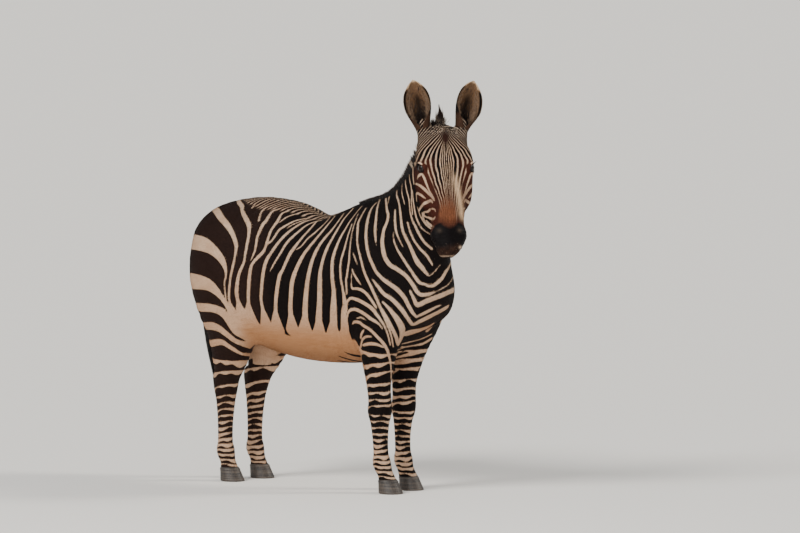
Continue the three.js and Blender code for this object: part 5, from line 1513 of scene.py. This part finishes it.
def crest_locks(low, high, count, rng):
    """Upright locks along the crest from place low to high; those over the brow draw together in a point."""
    root, along, grow, length = crest
    t = np.sort(mix(low, high, rng.random(count) ** 0.92))
    base, fore, up = at(root, t), unit(at(along, t)), unit(at(grow, t))
    across = unit(np.cross(fore, up))
    side = rng.uniform(-1, 1, count)
    clump = 0.5 + 0.5 * np.sin(t * 330 + 3 * np.sin(t * 97) + 1.4 * side)
    tuft = smoothstep(0.84, 0.88, t)
    peak = hill((t, FORELOCK, 0.035))
    long = at(length, t) * mix(1, mix(0.17, 1.0, peak), tuft) * mix(0.66, 1, smoothstep(0.25, 0.6, t))
    long = long * mix(0.74, 1.04, rng.random(count) ** 0.7) * mix(0.9, 1.03, clump)
    lean = rng.normal(0, 0.07, count) + 0.1 * np.sin(t * 120) * (1 - tuft)
    spread = (0.12 * side + rng.normal(0, 0.04, count)) * (1 - 0.85 * tuft * peak)
    s = along_lock(6)
    aside = side * MANE["width"] * mix(0.5, 0.2, tuft * peak) - 9 * tuft * peak
    lines = (
        (base + across * aside[:, None])[:, None]
        + up[:, None] * (-10 + (long[:, None, None] + 10) * s)
        + fore[:, None] * (lean[:, None, None] * long[:, None, None] * s**1.6)
        + across[:, None] * ((spread[:, None, None] * long[:, None, None] - side[:, None, None] * 6) * s**1.5)
    )
    point = at(root, np.array([FORELOCK]))[0] - HEAD_AXES[1] * 6 + STANDING * 90
    gather = (tuft * np.clip(peak * 1.4, 0, 1) * 0.95)[:, None, None] * s**0.35
    lines = lines + (point - lines[:, -1:]) * gather * rng.uniform(0.75, 1.0, (count, 1, 1))
    curl = (tuft * (1 - peak) ** 3)[:, None, None] * s
    lines = lines + curl * rng.normal(0, 9, (count, 1, 3)) + curl * across[:, None] * side[:, None, None] * 16
    turn = rng.uniform(-0.5, 0.5, count) + rng.uniform(-1.3, 1.3, count) * np.clip((t - 0.86) * 12, 0, 1)
    wide = fore * np.cos(turn)[:, None] + across * np.sin(turn)[:, None]
    width = rng.uniform(3.4, 6.4, count) * np.clip(long / 60, 0.5, 1) * mix(1, 0.5, tuft)
    return lines, wide, width, t, side


def add_crest(name, low, high):
    """A stretch of the mane, in bands that carry on the neck's stripes, or the forelock."""
    lines, wide, width, t, side = crest_locks(low, high, LOCKS[name], draws(name))
    root = lines[:, 1]
    length = np.append(0, np.cumsum(np.linalg.norm(np.diff(crest[0], axis=0), axis=1)))
    bands = 9 * np.cos(2 * math.pi * (at(length, t) / MANE["band"] + 0.35)) - 6.5
    bands = bands + 1.5 * smoothstep(0.5, 0.6, t) - 9 * smoothstep(0.5, 0.36, t)
    bands = bands + draws(name).normal(0, 2.6, len(t))
    value = np.maximum(line_value(settle(root, body_field, 2, 20.0)), bands)
    front = np.where(np.abs(t - FORELOCK) < 0.05, -8, 6 * np.sin(t * 300 + 4 * side) - 4)
    value, tip = np.where(t > 0.86, front, value), np.where(t > 0.86, 0.9, 0.35)
    hair_piece(name, lines, wide, width, 0.35, value, tip, chart("crest", root), hair_stuff)


def add_tail_tuft():
    """The tail's long hair, rooted round the lower dock and hanging to a ragged end."""
    rng, count = draws("tail_tuft"), LOCKS["tail_tuft"]
    k = np.arange(count) / (count - 1)
    angle = rng.uniform(0, 2 * math.pi, count)
    out = np.stack([np.cos(angle), np.sin(angle), 0 * angle], -1)
    top = mix(870, 640, k) + rng.uniform(-12, 12, count)
    bottom = mix(520, 425, np.sqrt(k)) + rng.uniform(-25, 35, count)
    s = np.linspace(0, 1, 8)
    z = top[:, None] + (bottom - top)[:, None] * s
    bulge = mix(2, 22 * rng.random((count, 1)) ** 0.5, np.sin(math.pi * np.clip(s * 0.8 + 0.1, 0, 1)))
    bulge = bulge * (1 - 0.6 * s**2)
    wave = rng.normal(0, 1.2, (count, 1, 3)) * (s * (1 - 0.3 * s))[None, :, None] * 3
    lines = tail_line(z) + out[:, None] * bulge[:, :, None] + wave
    lines[:, 0] = tail_line(top) + out * 4
    across = np.stack([-out[:, 1], out[:, 0], 0 * angle], -1)
    x, y, z = lines[:, 0].T
    places = z, np.arctan2(y, x + 660)
    hair_piece("tail_tuft", lines, across, rng.uniform(3.5, 6.5, count), 0.35, -8.0, 0, places, hair_stuff)


def tree_of(mesh, points):
    corners, starts = corners_of(mesh)
    return BVHTree.FromPolygons(points.tolist(), [f.tolist() for f in np.split(corners, starts[1:])])


def make_flesh(mesh, points):
    """The skin with its ears and the dock of the tail, as one mesh, with its markings."""
    bm = bmesh.new()
    bm.from_mesh(mesh)
    whole = len(points)
    ears = [ear_shell(s) for s in SIDES]
    for more, quads in [ear[:2] for ear in ears] + [tail_dock()]:
        bm.from_mesh(mesh_from("part", more, quads))
    bm.to_mesh(mesh)
    bm.free()
    points = coordinates(mesh)
    mesh.vertices.foreach_set("co", place(points).astype(np.float32).ravel())
    mesh.shade_smooth()
    value, phase, share = markings(points)
    pale, dark = colours(points)
    where = np.concatenate([ear[2] for ear in ears])
    in_ears, in_dock = slice(whole, whole + len(where)), slice(whole + len(where), len(points))
    value[in_ears], pale[in_ears], dark[in_ears] = ear_coat(where)
    phase[in_ears], share[whole:] = 0, 0
    z = points[in_dock, 2]
    value[in_dock] = 7 * np.sin(z / 9) + mix(-2, -8, smoothstep(1000, 800, z))
    h = to_head(points)
    bare = smoothstep(430, 470, h[:, 0]) * (np.abs(h[:, 1]) < 120) * (h[:, 0] < 620) * (points[:, 2] > 1000)
    table = dict(value=value, phase=phase, share=share, bare=bare, light=pale, dark=dark, grain=grain(points))
    for name, values in table.items():
        put(mesh, name, values)
    return mesh, points, table, in_ears


# ------------------------------------------------------------------ the coat
# Of each kind of coat: tufts a square millimetre, width, rise of the tips over length.
COAT = {
    "trunk": (0.048, 2.1, 0.26),
    "neck": (0.05, 2.1, 0.28),
    "head": (0.15, 1.1, 0.2),
    "leg": (0.066, 1.5, 0.24),
    "ear": (0.11, 1.4, 0.3),
}
Faces = namedtuple("Faces", "middle normal u v corners area")


def head_share(points):
    """0 on the neck and the body, 1 on the head."""
    h = to_head(points)
    inside = within(h, (-math.inf, 640), 180, (-190, 180)) & (points[:, 2] > 1100)
    return smoothstep(0, 50, h[:, 0] + 0.5 * np.minimum(h[:, 2] + 60, 0)) * inside


def flow(points):
    """Which way the hair lies at points, before it is laid along the skin."""
    x, y, z = points.T
    h = to_head(points)
    spine = hill((y, 0, 45)) * (z > 1000) * smoothstep(-480, -380, x) * (x < 400)
    out = np.sign(h[:, 1])[:, None] * HEAD_AXES[1]
    face = mix(-HEAD_AXES[0] + 0.4 * out, HEAD_AXES[0], smoothstep(55, 100, h[:, 0])[:, None])
    cheek = (smoothstep(20, -60, h[:, 2]) * smoothstep(420, 330, h[:, 0]))[:, None]
    face = mix(face, HEAD_AXES[0] - 0.9 * HEAD_AXES[2], cheek * 0.7)
    way = np.tile([-1.0, 0, -0.35], (len(points), 1))
    for other, share in (
        ([1.0, 0, 0], spine),  # the mountain zebra's runs forward here
        ([-0.35, 0, -1.0], smoothstep(360, 500, x + 0.25 * (z - 1000))),  # on the neck
        ([-0.12, 0, -1.0], smoothstep(820, 660, z)),  # on the legs
        ([-1.0, 0, 0.1], smoothstep(700, 620, z) * (np.abs(x - 20) < 260)),  # on the belly
        (face, head_share(points)),
    ):
        way = mix(way, np.array(other), share[:, None])
    return unit(way)


def fur_length(points):
    x, _, z = points.T
    long = np.interp(z, [0, 300, 700, 800], [5, 6.5, 9, 10])
    long = long + 4 * smoothstep(700, 630, z) * (np.abs(x - 20) < 280)
    return mix(long, np.interp(to_head(points)[:, 0], [20, 120, 430], [5, 4.4, 3.4]), head_share(points))


def face_samples(mesh, points):
    """Middle, normal, sides, corners and area of the skin's four-sided faces."""
    corners, starts = corners_of(mesh)
    starts = starts[np.diff(np.append(starts, len(corners))) == 4]
    quads = corners[starts[:, None] + np.arange(4)]
    a, b, c, d = (points[quads[:, k]] for k in range(4))
    u, v = (b - a + c - d) / 2, (d - a + c - b) / 2
    cross = np.cross(u, v)
    return Faces((a + b + c + d) / 4, unit(cross), u, v, quads, np.linalg.norm(cross, axis=1))


def coat_regions(points, in_ear):
    """The coat piece that each place belongs to: its kind and its name."""
    x, y, z = points.T
    kind = np.full(len(points), "trunk", dtype="<U5")
    kind[(x + 0.25 * (z - 1000) > 420) & (z > 900)] = "neck"
    kind[(z < np.where(x > 0, 700, 640)) & (np.abs(x) > 290)] = "leg"
    kind[head_share(points) > 0.5] = "head"
    kind[in_ear] = "ear"
    side = np.where(np.where(np.isin(kind, ["head", "ear"]), to_head(points)[:, 1], y) > 0, "_left", "_right")
    end = np.where(np.isin(kind, ["trunk", "leg"]), np.where(x > -60, "_fore", "_rear"), "")
    return kind, np.char.add(np.char.add(kind, side), end)


def chart(kind, points):
    """Each root's place on an unwrap of its own form: along it and round it."""
    x, y, z = points.T
    if kind in ("head", "ear", "crest"):
        h = to_head(points)
        return h[:, 0], np.arctan2(h[:, 1], h[:, 2] + 40)
    if kind == "leg":
        middle, out = profile(LEGS["front_left" if x[0] > 0 else "hind_left"], z, 0, 1)
        return z, np.arctan2(np.abs(y) - out, x - middle)
    if kind == "neck":
        return z, np.arctan2(y, x - (540 + 0.3 * (z - 1200)))
    return x, np.arctan2(y, z - 900)


def add_bake_map(mesh, per, places):
    """The OFBake map: each tuft a patch 0.003 across at its root's place."""
    patch = 0.003
    spread = [(p - p.min()) / max(1e-6, p.max() - p.min()) * (1 - patch) for p in places]
    corner, last = np.arange(per), per - 1
    across = np.where(corner == last, 0.5, corner % 3 / 2)
    local = np.stack([across, corner // 3 / max(1, last // 3)], -1) * patch
    uv = np.stack(spread, -1)[:, None] + local[None]
    layer = mesh.uv_layers.new(name="OFBake")
    layer.data.foreach_set("uv", uv.reshape(-1, 2)[corners_of(mesh)[0]].astype(np.float32).ravel())


def fur(name, kind, pick, rng):
    """One piece of the coat: short tufts over the picked faces, along the flow and in their colours."""
    density, width, lift = COAT[kind]
    part = Faces(*(column[pick] for column in samples))
    i = np.repeat(np.arange(len(pick)), np.floor(part.area * density + rng.random(len(pick))).astype(int))
    a, b = rng.uniform(-0.5, 0.5, (2, len(i), 1))
    p, n = part.middle[i] + part.u[i] * a + part.v[i] * b, part.normal[i]
    if kind == "ear":
        long, way = np.full(len(i), 6.5), np.tile(ear_frame(1 if "left" in name else -1)[1][2], (len(i), 1))
    else:
        long, way = fur_length(p), flow(p)
    way = unit(way + rng.normal(0, 0.15, way.shape))
    way = unit(way - n * (way * n).sum(1, keepdims=True))
    long = (long * rng.uniform(0.7, 1.15, len(i)))[:, None]
    rise = (lift * rng.uniform(0.5, 1.3, len(i)))[:, None]
    tufts = np.stack([p - way * long * 0.5 - n, p + way * long * 0.5 + n * rise * long], 1)
    mesh, per = lock_mesh(name, tufts, np.cross(way, n), width * rng.uniform(0.7, 1.2, len(i)), 0.35)
    for key, values in skin_values.items():
        put(mesh, key, np.repeat(values[part.corners[i]].mean(1), per, 0))
    put(mesh, "along", np.tile([0, 0, 0, 1.0], len(i)))
    add_bake_map(mesh, per, chart(kind, p))
    piece(name, mesh, coat_stuff)


def grow_coat():
    rng = draws("coat")
    corner = samples.corners[:, 0]
    in_ear = (corner >= ear_vertices.start) & (corner < ear_vertices.stop)
    kind, name = coat_regions(samples.middle, in_ear)
    bare = skin_values["bare"][samples.corners].mean(1) > 0.25
    bald = (kind == "head") & (bare | (from_eye(to_head(samples.middle), 2) < 25))
    for each in np.unique(name):
        pick = np.nonzero((name == each) & ~bald)[0]
        fur("fur_" + str(each), str(kind[pick[0]]), pick, rng)


# ------------------------------------------------------------------ lashes, whiskers and the hair in the ears
def eye_rim(s, angle):
    """Places on the rim of the lids, in the head's frame, at angles round it."""
    x, z = LIDS[0] * np.cos(angle), LIDS[2] * np.sin(angle)
    o = np.stack([x * SLANT[0] - z * SLANT[1], 6 + 0 * x, x * SLANT[1] + z * SLANT[0]], 1)
    return (o @ turning(LIDS_TURNS).T + LIDS_MIDDLE) * [1, s, 1]


def add_lashes():
    """Long lashes on the upper lids, short ones on the lower."""
    rng, t = draws("lashes"), along_lock(4)
    uppers, lowers = LOCKS["upper_lashes"], LOCKS["lower_lashes"]
    up = np.array([-SLANT[1], 0, SLANT[0]]) @ HEAD_AXES
    side = np.array([SLANT[0], 0, SLANT[1]]) @ HEAD_AXES
    lashes = []
    for s in SIDES:
        upper = np.linspace(0.25, math.pi - 0.2, uppers) + rng.normal(0, 0.02, uppers)
        lower = np.linspace(-2.6, -0.5, lowers) + rng.normal(0, 0.03, lowers)
        a = np.concatenate([upper, lower])
        root = np.array([flesh_tree.find_nearest(Vector(p))[0] for p in from_head(eye_rim(s, a))])
        long = np.where(a > 0, 13, 6)[:, None] * rng.uniform(0.75, 1.1, (len(a), 1))
        curve = up * np.where(a > 0, 0.75, -0.55)[:, None]
        first = (np.array([0, s, 0]) @ HEAD_AXES + side * (np.cos(a)[:, None] * 0.35))[:, None]
        hairs = root[:, None] + long[:, None] * (first * t + curve[:, None] * t**2) - 2 * first * (1 - t)
        lashes.append(hairs)
    lashes = np.concatenate(lashes)
    places = chart("crest", lashes[:, 0])
    hair_piece("lashes", lashes, HEAD_AXES[0], 1.1, 0.7, -9.0, 0, places, hair_stuff)


def add_whiskers():
    rng = draws("whiskers")
    h = to_head(samples.middle)
    bare = skin_values["bare"][samples.corners].mean(1) > 0.2
    pick = np.nonzero(bare & (np.abs(h[:, 1]) > 14) & ((h[:, 2] < -18) | (h[:, 0] > 520)))[0]
    pick = rng.choice(pick, LOCKS["whiskers"], replace=False)
    root, t = samples.middle[pick], along_lock(4)
    long = rng.uniform(9, 24, (len(pick), 1, 1))
    way = unit(samples.normal[pick] + rng.normal(0, 0.2, root.shape) + 0.3 * HEAD_AXES[0])[:, None]
    hairs = root[:, None] + long * (way * t - np.array([0, 0, 0.25]) * t**2) - 2 * way * (1 - t)
    tone = np.where(rng.random(len(pick)) < 0.5, 9.0, -9.0)
    wide = np.cross(way[:, 0], [0, 0, 1.0])
    hair_piece("whiskers", hairs, wide, 0.8, 0.7, tone, 0, chart("crest", root), hair_stuff)


def add_ear_hair():
    """Long soft hair rooted down the inside of the cups, brushed up and to the middle."""
    rng, t = draws("ear_hair"), along_lock(4)
    for s, name in ((1, "ear_hair_left"), (-1, "ear_hair_right")):
        shell, _, where = ear_shell(s)
        face, across, up = ear_frame(s)[1]
        v, c, inner = where.T
        weight = (inner > 0.5) * (v > 0.06) * (v < 0.84) * (np.abs(c) < 0.68)
        weight = weight * (0.3 + smoothstep(0.3, 0.62, np.abs(c))) * (0.5 + smoothstep(0.6, 0.2, v))
        pick = rng.choice(len(v), LOCKS["ear_hair"], p=weight / weight.sum())
        root = shell[pick] + rng.normal(0, 1.6, (len(pick), 3))
        v, c = v[pick], c[pick]
        way = unit(up - across * (np.sign(c) * 0.9 * np.abs(c) ** 0.7)[:, None] + face * 0.45)
        way = unit(way + rng.normal(0, 0.12, way.shape))
        long = (mix(24, 11, smoothstep(0.1, 0.8, v)) * rng.uniform(0.6, 1.1, len(pick)))[:, None, None]
        droop = up * 0.35 - face * 0.3
        hairs = root[:, None] + long * (way[:, None] * t + droop * t**2) - 1.5 * face * (1 - t)
        width = rng.uniform(1.2, 2.2, len(pick))
        tone = np.where(np.abs(c) > 0.4, 3.2, -4.2) + rng.normal(0, 2.2, len(pick))
        tone, places = tone - 4 * smoothstep(0.3, 0.1, v), chart("crest", root)
        hair_piece(name, hairs, np.cross(way, face), width, 0.35, tone, 0, places, ear_hair_stuff)


def add_fringe():
    """Short curls over the poll, between the ears and round the foot of the forelock."""
    rng = draws("fringe")
    h = to_head(samples.middle)
    near = within(h, (-60, 22), 62, (-70, math.inf)) & (samples.middle[:, 2] > 1500)
    pick = rng.choice(np.nonzero(near)[0], LOCKS["fringe"])
    root, t = samples.middle[pick], along_lock(5)
    long = rng.uniform(14, 27, (len(pick), 1, 1))
    out = np.sign(h[pick, 1])[:, None] * HEAD_AXES[1]
    way = samples.normal[pick] + 0.5 * HEAD_AXES[2] + 0.5 * out + rng.normal(0, 0.35, root.shape)
    way = unit(way)[:, None]
    curl = unit(0.6 * HEAD_AXES[0] + 0.6 * out + rng.normal(0, 0.5, root.shape))[:, None]
    bend = 0.75 * way * np.sin(2.2 * t) / 0.9 + 0.7 * curl * t**2
    hairs = root[:, None] + long * bend - 2 * way * (1 - t)
    width = rng.uniform(2.4, 4.4, len(pick))
    tone = np.where(rng.random(len(pick)) < 0.36, 8.0, -8.0)
    wide = np.cross(way[:, 0], HEAD_AXES[0])
    hair_piece("fringe", hairs, wide, width, 0.4, tone, 0, chart("crest", root), hair_stuff)


# ------------------------------------------------------------------ light and floor
def stand(name, data, location, aim, axis="-Z"):
    """A camera or a lamp at a location, an axis of its own turned to aim."""
    thing = bpy.data.objects.new(name, data)
    bpy.context.scene.collection.objects.link(thing)
    thing.location = location
    thing.rotation_euler = Vector(aim).to_track_quat(axis, "Y").to_euler()
    return thing


def add_camera():
    data = bpy.data.cameras.new("camera")
    data.sensor_width = 36
    data.lens = data.sensor_width * CAMERA_FAR * SCALE / PHOTO[0]
    data.clip_end = 500
    bpy.context.scene.camera = stand("camera", data, AIM + BACK * CAMERA_FAR, -BACK)


def add_sun(name, strength, softness, source, colour):
    data = bpy.data.lights.new(name, "SUN")
    data.energy, data.angle, data.color = strength, math.radians(softness), colour
    stand(name, data, source, source, "Z")


def add_stage():
    bpy.ops.mesh.primitive_plane_add(size=400)
    floor = bpy.context.object
    floor.name = "floor"
    floor.data.materials.append(Nodes("floor").finish((0.86, 0.84, 0.8, 1), 0.9))
    world = bpy.data.worlds.new("world")
    world.use_nodes = True
    colour, strength = world.node_tree.nodes["Background"].inputs[:2]
    colour.default_value, strength.default_value = (0.95, 0.97, 1.0, 1), 0.5
    bpy.context.scene.world = world
    add_sun("key", 2.6, 22, (-1.0, -4.0, 3.6), (1.0, 0.97, 0.92))
    add_sun("rim", 1.5, 12, (3.6, 2.6, 3.4), (1.0, 0.95, 0.86))
    fill = bpy.data.lights.new("fill", "AREA")
    fill.size, fill.energy = 3.0, 110
    source = Vector((2.6, -4.4, 1.2))
    stand("fill", fill, source, Vector((0.0, 0.0, 0.9)) - source)


# ------------------------------------------------------------------ everything in place
crest = make_crest()
base_mesh, base_points = make_skin()
flesh_tree = tree_of(base_mesh, base_points)
lines = make_lines(flesh_tree)
skin_stuff, coat_stuff = skin_material(), coat_material()
horn_stuff, eye_stuff = horn_material(), eye_material()
hair_stuff = hair_material("hair", srgb(206, 184, 160), srgb(15, 11, 11), srgb(74, 46, 34))
ear_hair_stuff = hair_material("ear_hair", srgb(150, 122, 98), srgb(30, 21, 17), srgb(120, 96, 76))
skin_mesh, skin_points, skin_values, ear_vertices = make_flesh(base_mesh, base_points)
skin = piece("skin", skin_mesh, skin_stuff)
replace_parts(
    skin, "torso", "neck", "head", "tail", "ear_left", "ear_right",
    "leg_front_left", "leg_front_right", "leg_hind_left", "leg_hind_right",
)
samples = face_samples(skin_mesh, skin_points)
grow_coat()
add_lashes()
add_whiskers()
add_ear_hair()
add_fringe()
add_crest("mane", 0.02, 0.8)
add_crest("forelock", 0.8, 1.0)
add_tail_tuft()
for name, rows in LEGS.items():
    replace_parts(piece("horn_" + name, hoof(name, rows), horn_stuff), "hoof_" + name)
for s, name in ((1, "eye_left"), (-1, "eye_right")):
    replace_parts(piece(name + "_ball", eyeball(name + "_ball", s), eye_stuff), name)

add_camera()
add_stage()
